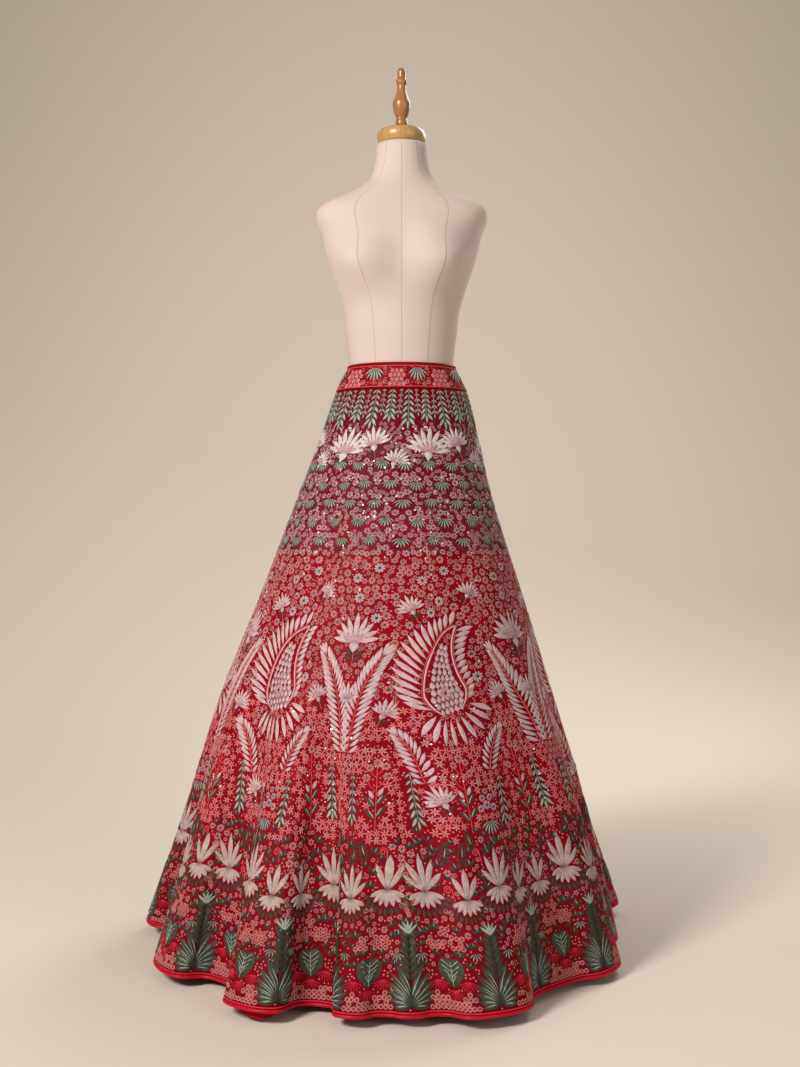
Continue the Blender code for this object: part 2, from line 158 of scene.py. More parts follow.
# Soft creases in the hanging cloth: the share of the way round, the heights they run between, how far they
# stand out in mm (in, if below 0), how wide they are, and how far they wander sideways on the way down
CREASES = [
    (0.030, 1.05, 0.52, -2.2, 0.017, 0.010),
    (0.094, 1.00, 0.60, 1.8, 0.021, -0.006),
    (0.151, 1.06, 0.44, -2.8, 0.019, 0.008),
    (0.205, 0.98, 0.55, 2.0, 0.024, 0.004),
    (0.262, 1.06, 0.50, -2.4, 0.016, -0.010),
    (0.309, 1.02, 0.66, -1.6, 0.014, 0.006),
    (0.345, 1.05, 0.40, 2.6, 0.026, -0.008),
    (0.383, 1.06, 0.48, -3.0, 0.018, 0.009),
    (0.421, 0.95, 0.36, 2.2, 0.028, 0.006),
    (0.452, 1.04, 0.58, -1.5, 0.016, -0.005),
    (0.488, 0.92, 0.30, -2.6, 0.024, 0.012),
    (0.531, 0.86, 0.28, 2.4, 0.030, -0.010),
    (0.566, 1.03, 0.46, -2.2, 0.018, 0.006),
    (0.602, 1.05, 0.38, 2.0, 0.022, 0.008),
    (0.640, 1.04, 0.52, -2.8, 0.017, -0.006),
    (0.688, 0.98, 0.44, 2.3, 0.025, 0.004),
    (0.735, 1.06, 0.50, -2.0, 0.016, 0.010),
    (0.782, 1.00, 0.62, 1.6, 0.019, -0.004),
    (0.827, 1.05, 0.46, -2.7, 0.020, -0.009),
    (0.876, 0.96, 0.40, 2.2, 0.026, 0.006),
    (0.921, 1.06, 0.54, -2.4, 0.017, 0.007),
    (0.972, 1.02, 0.48, 2.0, 0.023, -0.008),
    (0.437, 0.40, 0.10, -1.8, 0.013, 0.006),
    (0.515, 0.36, 0.06, 1.9, 0.017, -0.006),
    (0.578, 0.42, 0.12, -1.7, 0.015, 0.005),
    (0.342, 0.38, 0.08, 1.8, 0.015, 0.004),
]
FINE_SEAM = 0.06 * MM
SEAM_DIP = 0.30 * MM
SEAM_DIP_WIDTH = 3.0 * MM

# The fold of lining: where it starts and how far it runs, as shares of the way round, and where it hangs from
LINING_START = 55 / 144
LINING_RUN = 6 / 144
LINING_TOP = 0.115
LINING_CLOTH = 1.2 * MM

# ---- The embroidery: how high its edges stand, its chart's size, and the strip that is drawn for a seam
EDGE = 0.1 * MM
LEAF_EDGE = 0.15 * MM

CHART_WIDTH = 0.70
CHART_HEIGHT = 1.16
SEAM_STRIP = 0.34

# ---- The camera, as estimated from the photograph
CAMERA_HEIGHT = 0.80
CAMERA_AWAY = 2.7
FOCAL_PIXELS = 1385
PHOTO_PIXELS_HIGH = 1067
SENSOR = 36.0

# ---- Colours, as light (linear) values
CRIMSON = (0.350, 0.0014, 0.0105)
# The silk's darkest: its cloudy tone and the painted shade on the panels go down to this
CRIMSON_DEEP = (0.130, 0.0005, 0.0042)
PIPING_RED = (0.520, 0.0055, 0.0180)
PIPING_DARK = (0.260, 0.0035, 0.0110)
LINING_RED = (0.360, 0.0030, 0.0100)
BEAD_DARK = (0.030, 0.018, 0.022)
# Partly the sequins' own silver, partly a painted glint: nearly white so that they show bright from every
# side
SEQUIN_PAINTED_GLINT = (0.90, 0.86, 0.86)
IVORY = (0.665, 0.535, 0.470)
PALE_WOOD = (0.600, 0.340, 0.120)
FINIAL_WOOD = (0.480, 0.190, 0.055)
STEEL = (0.50, 0.50, 0.51)
FLOOR = (0.800, 0.710, 0.610)
# Each thread's colour, its share at its darkest (in the painted shade between the stitches and at a motif's
# root, and in its cloudy patches), roughness, two stitches' width and how far up a motif is painted in shade
# in mm, and how cloudy it is. The last values may be left out.
THREADS = {
    "white": ((0.760, 0.640, 0.640), 0.45, 0.45, 1.6, 9.0, 0.35),
    "pale": ((0.720, 0.498, 0.514), 0.42, 0.45, 1.6, 9.0, 0.4),
    "blush": ((0.590, 0.425, 0.400), 0.40, 0.45, 1.6, 9.0, 0.4),
    "floret": ((0.720, 0.258, 0.250), 0.36, 0.5, 0.9, 5.0),
    "lilac": ((0.645, 0.352, 0.392), 0.36, 0.5, 0.9, 5.0),
    "dot": ((0.740, 0.232, 0.212), 0.36, 0.5, 0.9, 4.2),
    "net": ((0.750, 0.204, 0.198), 0.60, 0.5, 0.9, 2.2),
    "star": ((0.690, 0.288, 0.296), 0.60, 0.5, 0.9, 2.2),
    "coral": ((0.780, 0.090, 0.080), 0.7, 0.5, 0.9, 0.1),
    "line": ((0.740, 0.030, 0.060), 0.7, 0.5, 0.9, 0.1),
    "green": ((0.070, 0.078, 0.056), 0.30, 0.45, 1.4, 9.0),
    "silver": ((0.430, 0.455, 0.385), 0.50, 0.4, 0.9, 2.0),
    "knot": ((0.090, 0.050, 0.055), 0.7),
    "knot_pink": ((0.700, 0.190, 0.170), 0.7, 0.5, 0.9, 0.1),
}


# ---- Sections and surfaces


def through(places, values, at):
    """The values at those places, on a smooth curve through the table's points."""
    slopes = np.gradient(values, places)
    k = np.clip(np.searchsorted(places, at, side="right") - 1, 0, len(places) - 2)
    span = places[k + 1] - places[k]
    share = np.clip((at - places[k]) / span, 0, 1)
    rising = share * share * (3 - 2 * share)
    leaving, arriving = share * (1 - share) ** 2, share * share * (share - 1)
    bent = span * (leaving * slopes[k] + arriving * slopes[k + 1])
    return values[k] * (1 - rising) + values[k + 1] * rising + bent


def section_at(sections, height):
    """Each column of a table of level sections, at those heights."""
    heights, *columns = sections.T
    return (through(heights, column, height) for column in columns)


def way_along(line):
    """How far along a line each of its points lies."""
    return np.concatenate([[0], np.cumsum(np.linalg.norm(np.diff(line, axis=0), axis=1))])


def oval_reach(turn, half_width, front, back, squareness=2.0):
    """Distance from the middle to a rounded oval, at a turn from the front."""
    depth = np.where(np.cos(turn) > 0, front, back)
    across = np.abs(np.sin(turn) / half_width) ** squareness
    along = np.abs(np.cos(turn) / depth) ** squareness
    return (across + along) ** (-1 / squareness)


def way_round(turn, reach):
    """The share of the way round at each point of a closed line, from its first point."""
    way = way_along(np.stack([reach * np.sin(turn), reach * np.cos(turn)], axis=1))
    return way / way[-1]


def cloth_lines():
    """The lines that run down the cloth: share round the hem, turn, bulge, rise, flute's start, drift."""
    nodes = []
    for ridge_turn, ridge_reach, valley_turn, valley_reach, roundness, start in FLUTES:
        nodes.append((ridge_turn, ridge_reach, roundness, start))
        nodes.append((valley_turn, valley_reach, roundness, start))
    nodes.append((nodes[0][0] + 360, *nodes[0][1:]))
    nodes = np.array(nodes)
    way = np.linspace(0, len(nodes) - 1, SAMPLES + 1)
    place = np.minimum(way.astype(int), len(nodes) - 2)
    share = way - place
    swing = (1 - np.cos(math.pi * share)) / 2
    turn_from, reach_from, roundness, start_from = nodes[place].T
    turn_to, reach_to, _, start_to = nodes[place + 1].T
    turn = np.radians(turn_from + (turn_to - turn_from) * share)
    width = np.radians(turn_to - turn_from)
    bulge = roundness * width * np.sin(TAU * share) / TAU
    reach = reach_from + (reach_to - reach_from) * swing
    start = start_from + (start_to - start_from) * swing
    rise = reach - oval_reach(turn + bulge, *SKIRT_SECTIONS[0, 1:4])
    hem_share = way_round(turn + bulge, reach)
    hem_share = hem_share - np.interp(math.pi, turn, hem_share)
    waist_turn = np.linspace(-math.pi, math.pi, 721)
    waist_share = way_round(waist_turn, oval_reach(waist_turn, *SKIRT_SECTIONS[-1, 1:4]))
    wanted = hem_share - SEAM_TURN_HEM + SEAM_TURN_WAIST
    whole = np.floor(wanted)
    drift = np.interp(wanted - whole, waist_share, waist_turn) + TAU * (whole + 1) - turn
    return np.array([hem_share, turn, bulge, rise, start, drift])


LINES = cloth_lines()


def skirt_points(height, share):
    """Points of the skirt's outside, at heights and shares of the way round (arrays of one shape)."""
    hem_share, *rows = LINES
    at = (share + SEAM_TURN_HEM - hem_share[0]) % 1.0 + hem_share[0]
    turn, bulge, rise, start, drift = (np.interp(at, hem_share, row) for row in rows)
    down = (BAND_BOTTOM - height) / (BAND_BOTTOM - HEM)
    depth = np.clip((down - start) / (1 - start), 0, 1) ** FLUTE_GROWTH
    near_waist, near_hem = (1 - down) * SKIRT_SECTIONS[-1, 1], down * SKIRT_SECTIONS[0, 1]
    turn = turn + bulge * depth + drift * near_waist / (near_waist + near_hem)
    half_width, front, back, shift = section_at(SKIRT_SECTIONS, height)
    reach = oval_reach(turn, half_width, front, back) + depth * rise
    x = shift * (1 - depth) + reach * np.sin(turn)
    return np.stack([x, -reach * np.cos(turn), height + HEM_LIFT * rise * depth**4], axis=-1)


def form_points(height, turn):
    """Points of the dress form's outside, at heights and turns from the front (arrays of one shape)."""
    reach = oval_reach(turn, *section_at(FORM_SECTIONS, height))
    near = np.exp(-(((height - BUST_HEIGHT) / BUST_RISE) ** 2))
    for side in (-1, 1):
        away = (turn - side * BUST_TURN + math.pi) % TAU - math.pi
        reach = reach + BUST_DEPTH * near * np.exp(-((away / BUST_SPREAD) ** 2))
    return np.stack([reach * np.sin(turn), -reach * np.cos(turn), height], axis=-1)


def unit(vectors):
    """The vectors, each made one long."""
    return vectors / np.maximum(np.linalg.norm(vectors, axis=-1, keepdims=True), 1e-12)


def level(vectors):
    """The vectors laid level, each made one long."""
    return unit(vectors * np.array([1.0, 1.0, 0.0]))


class Surface:
    """A closed tube of cloth as a fine grid: rows by height, columns by the share of the way round."""

    def __init__(self, heights, points):
        self.heights, self.points = heights, points
        across = np.roll(points[:, :-1], -1, axis=1) - np.roll(points[:, :-1], 1, axis=1)
        across = np.concatenate([across, across[:, :1]], axis=1)
        self.normals = unit(np.cross(across, np.gradient(points, axis=0)))

    def girths(self):
        """The way round at each height."""
        return np.linalg.norm(np.diff(self.points, axis=1), axis=2).sum(axis=1)

    def at(self, share, height, out=0.0):
        """Points at those shares and heights, moved out from the surface."""
        column = (np.asarray(share) % 1.0) * (self.points.shape[1] - 1)
        row = (height - self.heights[0]) / (self.heights[1] - self.heights[0])
        row = np.clip(row, 0, len(self.heights) - 1.000001)
        left, low = np.minimum(column.astype(int), self.points.shape[1] - 2), row.astype(int)
        x, y = (column - left)[..., None], (row - low)[..., None]
        place, normal = (
            (grid[low, left] * (1 - x) + grid[low, left + 1] * x) * (1 - y)
            + (grid[low + 1, left] * (1 - x) + grid[low + 1, left + 1] * x) * y
            for grid in (self.points, self.normals)
        )
        return place + unit(normal) * np.asarray(out)[..., None]


def skirt_surface():
    """The skirt's outside with its creases and the dip along each seam."""
    heights = np.linspace(HEM, SKIRT_SECTIONS[-1, 0], 430)
    height, share = np.meshgrid(heights, np.linspace(0, 1, 2881), indexing="ij")
    smooth = Surface(heights, skirt_points(height, share))
    girth = smooth.girths()[:, None]
    out = np.zeros_like(height)
    for place, top, bottom, stands_out, width, wander in CREASES:
        down = (top - height) / (top - bottom)
        window = np.where((down > 0) & (down < 1), np.sin(math.pi * np.clip(down, 0, 1)) ** 1.5, 0)
        away = share - place - wander * np.sin(2.2 * down)
        away = ((away + 0.5) % 1.0 - 0.5) * girth
        out += stands_out * MM * window * np.exp(-((away / width) ** 2))
    beside_seam = ((share * PANELS + 0.5) % 1.0 - 0.5) / PANELS * girth
    out -= SEAM_DIP * np.exp(-((beside_seam / SEAM_DIP_WIDTH) ** 2))
    edges = np.clip(np.minimum(height - HEM, heights[-1] - height) / 0.02, 0, 1)
    return Surface(heights, smooth.points + smooth.normals * (out * edges)[..., None])


def band_surface():
    """The waistband's outside."""
    heights = np.linspace(BAND_BOTTOM + SEAM, BAND_TOP, 24)
    height, share = np.meshgrid(heights, np.linspace(0, 1, 721), indexing="ij")
    bare = Surface(heights, form_points(height, share * TAU))
    return Surface(heights, bare.points + level(bare.normals) * (BAND_GAP + BAND_CLOTH))


class Kali:
    """One panel's cut: ways up the cloth against heights, and how wide the panel is there."""

    def __init__(self, surface):
        self.heights, self.girths = surface.heights, surface.girths()
        rises = np.linalg.norm(np.diff(surface.points, axis=0), axis=2).mean(axis=1)
        self.ways = np.concatenate([[0], np.cumsum(rises)])

    def up(self, height):
        """The way up the cloth from the hem to a height."""
        return float(np.interp(height, self.heights, self.ways))

    def height_at(self, way):
        """The height that lies that way up the cloth."""
        return np.interp(way, self.ways, self.heights)

    def width_of(self, height):
        """How wide a panel is at a height."""
        return np.interp(height, self.heights, self.girths) / PANELS

    def width(self, way):
        """How wide a panel is, that way up the cloth."""
        return self.width_of(self.height_at(way))

    def places(self, first):
        """A function from flat places to shares and heights. Copies are a panel apart, from first on."""
        return lambda copy, x, y: ((copy + first + x / self.width(y)) / PANELS, self.height_at(y))


# ---- Meshes


def grid_tris(rows, columns):
    """Triangles of a grid of rows by columns of cells, its points in rows."""
    row, column = np.meshgrid(np.arange(rows), np.arange(columns), indexing="ij")
    corner = (row * (columns + 1) + column).ravel()
    right, above = corner + 1, corner + columns + 1
    halves = (corner, right, above + 1), (corner, above + 1, above)
    return np.concatenate([np.stack(half, axis=1) for half in halves])


def placed(name, data):
    """An object of the scene."""
    made = bpy.data.objects.new(name, data)
    bpy.context.scene.collection.objects.link(made)
    return made


def mesh_object(name, points, tris, finishes, node=None, charts=None, finish_index=None):
    """A smooth-shaded mesh of triangles that rides on the part, in the place of a solid if one is named."""
    points, tris = np.asarray(points, np.float32), np.asarray(tris, np.int32)
    mesh = bpy.data.meshes.new(name)
    mesh.vertices.add(len(points))
    mesh.vertices.foreach_set("co", points.ravel())
    mesh.loops.add(tris.size)
    mesh.loops.foreach_set("vertex_index", tris.ravel())
    mesh.polygons.add(len(tris))
    mesh.polygons.foreach_set("loop_start", np.arange(0, tris.size, 3, dtype=np.int32))
    mesh.update(calc_edges=True)
    for chart, places in (charts or {}).items():
        layer = mesh.uv_layers.new(name=chart)
        layer.uv.foreach_set("vector", np.asarray(places, np.float32)[tris.ravel()].ravel())
    for finish in finishes:
        mesh.materials.append(finish)
    if finish_index is not None:
        mesh.polygons.foreach_set("material_index", np.asarray(finish_index, np.int32))
    mesh.shade_smooth()
    made = placed(name, mesh)
    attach(made, "root")
    if node:
        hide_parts(node)
    return made


def wall(name, outer, inner, finishes, node, across, up):
    """A wall with an outside grid, an inside grid and four rims. The last finish is on its inside."""
    rows, columns = across.shape[0] - 1, across.shape[1] - 1
    face, count = grid_tris(rows, columns), across.size
    index = np.arange(count).reshape(rows + 1, columns + 1)
    border = np.concatenate([index[0, :-1], index[:-1, -1], index[-1, :0:-1], index[:0:-1, 0]])
    following = np.roll(border, -1)
    halves = (following, border, border + count), (following, border + count, following + count)
    rim = np.concatenate([np.stack(half, axis=1) for half in halves])
    tris = np.concatenate([face, face[:, ::-1] + count, rim])
    inside = np.repeat([0, len(finishes) - 1, 0], [len(face), len(face), len(rim)])
    chart = np.tile(np.stack([across, up], axis=-1).reshape(-1, 2), (2, 1))
    points = np.concatenate([outer.reshape(-1, 3), inner.reshape(-1, 3)])
    return mesh_object(name, points, tris, finishes, node, {"OFBake": chart}, inside)


def cord(name, node, line, radius, finish, sides=10):
    """A round cord along a closed line of points."""
    along = unit(np.roll(line, -1, axis=0) - np.roll(line, 1, axis=0))
    side = unit(np.cross(along, np.array([0.0, 0.0, 1.0])))
    turn = np.linspace(0, TAU, sides + 1)[:, None, None]
    ring = line + radius * (np.cos(turn) * side + np.sin(turn) * np.cross(side, along))
    points = np.concatenate([ring, ring[:, :1]], axis=1).reshape(-1, 3)
    v, u = np.meshgrid(np.linspace(0, 1, sides + 1), np.linspace(0, 1, len(line) + 1), indexing="ij")
    charts = {"OFBake": np.stack([u, v], -1).reshape(-1, 2)}
    mesh_object(name, points, grid_tris(sides, len(line)), [finish], node, charts)


# ---- Motifs, drawn flat

Motif = namedtuple("Motif", "points tris thread")


def joined(motifs):
    """Several motifs as one."""
    points, tris, thread = zip(*motifs)
    starts = np.cumsum([0, *map(len, points)])
    tris = [part + start for part, start in zip(tris, starts)]
    return Motif(np.concatenate(points), np.concatenate(tris), np.concatenate(thread))


def moved(motif, x=0.0, y=0.0, angle=0.0, lift=0.0, mirror=False):
    """The motif mirrored, turned anticlockwise by degrees and shifted."""
    across, up, height = motif.points.T
    across = -across if mirror else across
    cos, sin = math.cos(math.radians(angle)), math.sin(math.radians(angle))
    points = np.stack([across * cos - up * sin + x, across * sin + up * cos + y, height + lift], axis=1)
    return Motif(points, motif.tris[:, ::-1] if mirror else motif.tris, motif.thread)


def polar(reach, turn, height):
    """Points at a reach and a turn from X, at a height."""
    return np.stack(np.broadcast_arrays(reach * np.cos(turn), reach * np.sin(turn), height), axis=-1)


def repeated(motif, count):
    """The motif turned about the origin that many times."""
    return joined([moved(motif, angle=360 * k / count) for k in range(count)])


def petal(length, width, lift=1.2 * MM, rows=4, columns=2, belly=0.85, fullness=0.9, bend=0.0):
    """A leaf from the origin up along Y: its half width is sin(pi t^belly)^fullness, its middle stands up."""
    t = np.linspace(0, 1, rows + 1)
    swell = np.clip(np.sin(math.pi * t**belly), 0, 1) ** fullness
    along, side = np.meshgrid(t, np.linspace(-1, 1, columns + 1), indexing="ij")
    across = side * (width / 2 * np.maximum(swell, 0.05))[:, None]
    height = LEAF_EDGE + lift * (1 - side**2) * np.maximum(swell, 0.15)[:, None] ** 0.6
    points = np.stack([across + bend * length * along**2, along * length, height], axis=-1).reshape(-1, 3)
    return Motif(points, grid_tris(rows, columns), np.stack([across, along * length], axis=-1).reshape(-1, 2))


def feather(length, width, bend=0.0):
    """A long narrow leaf of stitches, fullest near its tip."""
    return petal(length, width, 1.7 * MM, rows=5, belly=1.2, fullness=0.72, bend=bend)


def low_cone(radius, rim, middle, sides, tilt=0.0):
    """A low cone over a many-sided rim, which may be tipped a little."""
    turn = np.linspace(0, TAU, sides, endpoint=False)
    points = np.concatenate([polar(radius, turn, rim + tilt * np.cos(turn)), [[0, 0, middle]]])
    k = np.arange(sides)
    return Motif(points, np.stack([k, (k + 1) % sides, np.full(sides, sides)], axis=1), points[:, :2])


def knot(radius, lift=0.8 * MM):
    """A tiny raised knot."""
    return low_cone(radius, EDGE, lift, 5)


def ring(radius):
    """A raised ring of stitches round an open middle."""
    turn, inner = np.linspace(0, TAU, 10), radius * 0.36
    reaches, heights = (inner, (radius + inner) / 2, radius), (EDGE, 1.4 * MM, EDGE)
    loops = [polar(-reach, -turn, height) for reach, height in zip(reaches, heights)]
    thread = np.stack([np.tile(turn * radius, 3), np.repeat(reaches, 10)], axis=1)
    return Motif(np.concatenate(loops), grid_tris(2, 9), thread)


def floret(radius, petals, lift):
    """A small round-petalled flower round an open middle."""
    reach = radius * np.array([0.26, 0.26, 0.62, 1.0, 1.0, 0.62, 0.66])
    angle = math.pi / petals * np.array([-0.75, 0.75, 0.98, 0.48, -0.48, -0.98, 0.0])
    height = np.array([EDGE] * 2 + [LEAF_EDGE] * 4 + [lift])
    points = polar(reach, angle, height)
    tris = np.array([(6, (k + 1) % 6, k) for k in range(6)])
    return repeated(Motif(points, tris, np.stack([reach * angle, reach], axis=1)), petals)


def star(radius):
    """A six-pointed star of thin stitched rays."""
    half, widest, lift = 1.35 * MM, 0.45 * radius, 1.2 * MM
    ray = [(0, 0, lift / 2), (-half, widest, EDGE), (0, widest, lift), (half, widest, EDGE)]
    ray = np.array([*ray, (0, radius, EDGE)])
    tris = np.array([(0, 2, 1), (0, 3, 2), (1, 2, 4), (2, 3, 4)])
    return repeated(Motif(ray, tris, ray[:, :2]), 6)


def ribbon(line, width, lift=0.6 * MM):
    """A line of stitches along flat points: two edges and a ridge."""
    line = np.asarray(line, float)
    along = unit(np.gradient(line, axis=0))
    side = np.stack([along[:, 1], -along[:, 0]], axis=1) * width / 2
    edge, ridge = np.full((len(line), 1), EDGE), np.full((len(line), 1), lift)
    rows = [np.hstack([line - side, edge]), np.hstack([line, ridge]), np.hstack([line + side, edge])]
    points = np.stack(rows, axis=1).reshape(-1, 3)
    thread = np.stack([np.tile([-width / 2, 0, width / 2], len(line)), np.repeat(way_along(line), 3)], axis=1)
    return Motif(points, grid_tris(len(line) - 1, 2), thread)


# ---- Groups of motifs


class Group(list):
    """Motifs with their threads, in the order that they are sewn."""

    def sew(self, thread, motif, x=0.0, y=0.0, angle=0.0, lift=0.0):
        """Adds a motif at a place, and gives the group back."""
        self.append((thread, moved(motif, x, y, angle, lift)))
        return self

    def line(self, thread, points, width, high, lift=0.0):
        """Adds a line of stitches, its width and height in mm, and gives the group back."""
        return self.sew(thread, ribbon(points, width * MM, high * MM), lift=lift)

    def put(self, **where):
        """The group with every motif moved alike."""
        return Group((thread, moved(motif, **where)) for thread, motif in self)


def fanned(count):
    """Shares from -1 to 1, for pieces that fan out."""
    return [2 * k / (count - 1) - 1 for k in range(count)]


def from_up(angle, reach):
    """Across and up to the point at a reach, at degrees anticlockwise from straight up."""
    return -reach * math.sin(math.radians(angle)), reach * math.cos(math.radians(angle))


def flower(radius, petals, thread="floret", bead=0.28, lift=1.5 * MM):
    """A floret with a dark bead in its middle."""
    return Group().sew(thread, floret(radius, petals, lift)).sew("bead", knot(radius * bead, 1.1 * MM))


def dot(radius, thread="dot"):
    """A ring of stitches."""
    return Group().sew(thread, ring(radius))


def hanging_spray(tiers, length, spread):
    """Leaves in pairs down a stem, small at the top and longer below, each with a silver stitch."""
    group = Group()
    for k in range(tiers):
        share = (k + 1) / tiers
        reach = spread * (0.42 + 0.58 * share)
        y = -length * (k / tiers) ** 1.05
        for side in (-1, 1):
            angle = side * (146 + 8 * share)
            group.sew("green", petal(reach, reach * 0.36, 1.3 * MM, bend=0.10 * side), 0, y, angle)
            streak = petal(reach * 0.80, reach * 0.22, 0.8 * MM, rows=3, bend=0.12 * side)
            group.sew("silver", streak, -side * reach * 0.08, y - reach * 0.14, angle, 0.8 * MM)
    group.sew("green", petal(spread, spread * 0.28, 1.1 * MM, rows=3), 0, -length * 0.92, 180)
    group.sew("silver", petal(spread * 0.7, spread * 0.18, 0.8 * MM), 0, -length * 0.96, 180, 0.6 * MM)
    return group.line("silver", [(0, 0), (0, -length * 0.5), (0, -length)], 1.1, 0.9)


def palm_fan(length, count=7, spread=168, droop=0.45):
    """Leaflets that spread from one point and droop, each with a paler stitch."""
    group = Group()
    for share in fanned(count):
        reach, angle = length * (1.0 - 0.10 * share * share), 180 + share * spread / 2
        leaf = petal(reach, reach * 0.22, 1.3 * MM, belly=1.1, bend=droop * share)
        streak = petal(reach * 0.90, reach * 0.11, 0.6 * MM, belly=1.6, bend=droop * share * 0.9)
        group.sew("green", leaf, angle=angle).sew("silver", streak, angle=angle, lift=1.1 * MM)
    return group


def paisley_spine(length, width, lean):
    """Rows up a teardrop: x, y, bend and half width. Its foot is round, its tip leans over by degrees."""
    t = np.linspace(0, 1, 31) ** 0.9
    bend = np.radians(lean) * t**1.6
    steps = np.diff(t, prepend=0) * length
    foot = np.sqrt(np.clip(1 - ((0.25 - t) / 0.25) ** 2, 0, 1))
    tail = np.clip((1 - t) / 0.75, 0, 1) ** 0.85
    half = width / 2 * np.maximum(np.where(t < 0.25, foot, tail), 0.03)
    return np.stack([np.cumsum(steps * -np.sin(bend)), np.cumsum(steps * np.cos(bend)), bend, half], axis=1)


def scales(spine, length, width, margin):
    """Rows of short overlapping stitches that fill the shape round a spine, with dark knots among them."""
    group = Group()
    way = way_along(spine[:, :2])
    for row, place in enumerate(np.arange(0.10 * way[-1], 0.80 * way[-1], length * 0.82)):
        x, y, bend, half = (np.interp(place, way, column) for column in spine.T)
        inner = half - margin
        if inner < width * 0.3:
            continue
        count = max(1, int(round(2 * inner / (width * 1.08))))
        for k in range(count):
            side = ((k + 0.5) / count * 2 - 1) * inner * (0.94 if row % 2 else 1.0)
            at = x + side * math.cos(bend), y + side * math.sin(bend)
            scale = petal(length, width, 1.1 * MM, rows=3, belly=1.2)
            group.sew("pale", scale, *at, 180 + math.degrees(bend))
            if (row + k) % 2:
                group.sew("knot", knot(1.0 * MM), *at, lift=1.0 * MM)
    return group


def kairi(scale):
    """A mango-shaped paisley: a rim round rows of scales, a flower in its heart, feathers all round it."""
    mm = MM * scale
    spine = paisley_spine(142 * mm, 64 * mm, 62)
    bend, half = spine[:, 2], spine[:, 3:]
    sideways = np.stack([np.cos(bend), np.sin(bend)], axis=1)
    group = scales(spine, 11.5 * mm, 7.6 * mm, 4.5 * mm)
    for side in (-1, 1):
        edge = spine[:, :2] + side * half * sideways
        out = edge + side * 3.4 * MM * sideways
        group.line("pale", edge[1:], 2.8, 1.7).line("coral", out[2:-1], 1.3, 0.9)
        way = way_along(out[2:])
        count = int(way[-1] / (9.6 * mm))
        for k in range(count):
            share = (k + 0.5) / count
            x, y, turned = (np.interp(share * way[-1], way, row[2:]) for row in (*out.T, bend))
            reach = 24 + 26 * math.sin(math.pi * min(1.0, 0.15 + share)) if side > 0 else 13 + 9 * share
            angle = math.degrees(turned) + (30 * share - 62 if side > 0 else 60 - 22 * share)
            group.sew("pale", feather(reach * mm, 7.2 * mm, bend=-0.10 * side), x, y, angle)
    for share in fanned(9):
        piece = feather((41 - 5 * abs(share)) * mm, 7.6 * mm, bend=0.12 * share)
        x, y = 30 * mm * math.sin(1.25 * share), 14 * mm - 19 * mm * math.cos(1.25 * share)
        group.sew("pale", piece, x, y, 180 + 58 * share)
    group += flower(11.0 * mm, 8, "lilac", 0.22, 1.8 * MM).put(y=34 * mm, lift=1.0 * MM)
    return group


def frond(length, spread, pairs, lean):
    """A curved stem with long pale feathers up both sides and three at its tip."""
    share = np.linspace(0, 1, pairs + 1)
    bend = np.radians(lean) * share**1.2
    step = length / pairs
    x, y = (np.concatenate([[0], np.cumsum(part[:-1] * step)]) for part in (-np.sin(bend), np.cos(bend)))
    group = Group().line("coral", np.stack([x, y], axis=1), 1.8, 1.4)
    for k in range(pairs):
        reach = spread * (0.50 + 0.50 * math.sin(math.pi * (0.16 + 0.72 * share[k])))
        for side in (-1, 1):
            angle = math.degrees(bend[k]) - side * (66 - 38 * share[k])
            piece = feather(reach, min(7.0 * MM, step * 0.66), bend=-0.16 * side)
            group.sew("pale", piece, x[k] + side * 1.4 * MM, y[k], angle)
    for side in (-1, 0, 1):
        group.sew("pale", feather(spread * 0.75, 6.2 * MM), x[-1], y[-1], math.degrees(bend[-1]) - 17 * side)
    return group


def bloom(scale, colour="pale"):
    """A feathered flower: two rows of narrow petals from a scaled cup, on a short leafy stem."""
    mm, group = MM * scale, Group()
    for share in fanned(9):
        piece = feather((50 - 16 * abs(share)) * mm, 8.6 * mm, bend=0.10 * share)
        group.sew(colour, piece, 6 * mm * share, 3 * mm, -72 * share)
    for share in fanned(6):
        group.sew("lilac", feather(22 * mm, 5.8 * mm), 4 * mm * share, 1 * mm, -58 * share, 0.9 * MM)
        group.sew("knot", knot(1.0 * MM), 21 * mm * math.sin(share), 21 * mm * math.cos(share), lift=1.9 * MM)
    cup = petal(19 * mm, 15 * mm, 1.8 * MM, rows=5, columns=4, belly=0.8)
    group.sew(colour, cup, 0, 6 * mm, 180, 0.6 * MM)
    group.line("coral", [(0, -12 * mm), (1 * MM, -24 * mm), (0, -36 * mm)], 1.6, 1.0)
    for side in (-1, 1):
        for drop, reach in ((18, 19), (27, 15)):
            leaf = petal(reach * mm, 6.2 * mm, 1.0 * MM, bend=0.16 * side)
            group.sew("green", leaf, 0, -drop * mm, -side * 56)
    return group


# The petals of a lotus's bud: angle, length and width in mm
BUDS = {
    5: ((0, 62, 10.5), (21, 55, 9.8), (-21, 55, 9.8), (43, 41, 8.6), (-43, 41, 8.6)),
    3: ((0, 56, 13.0), (27, 47, 10.5), (-27, 47, 10.5)),
}


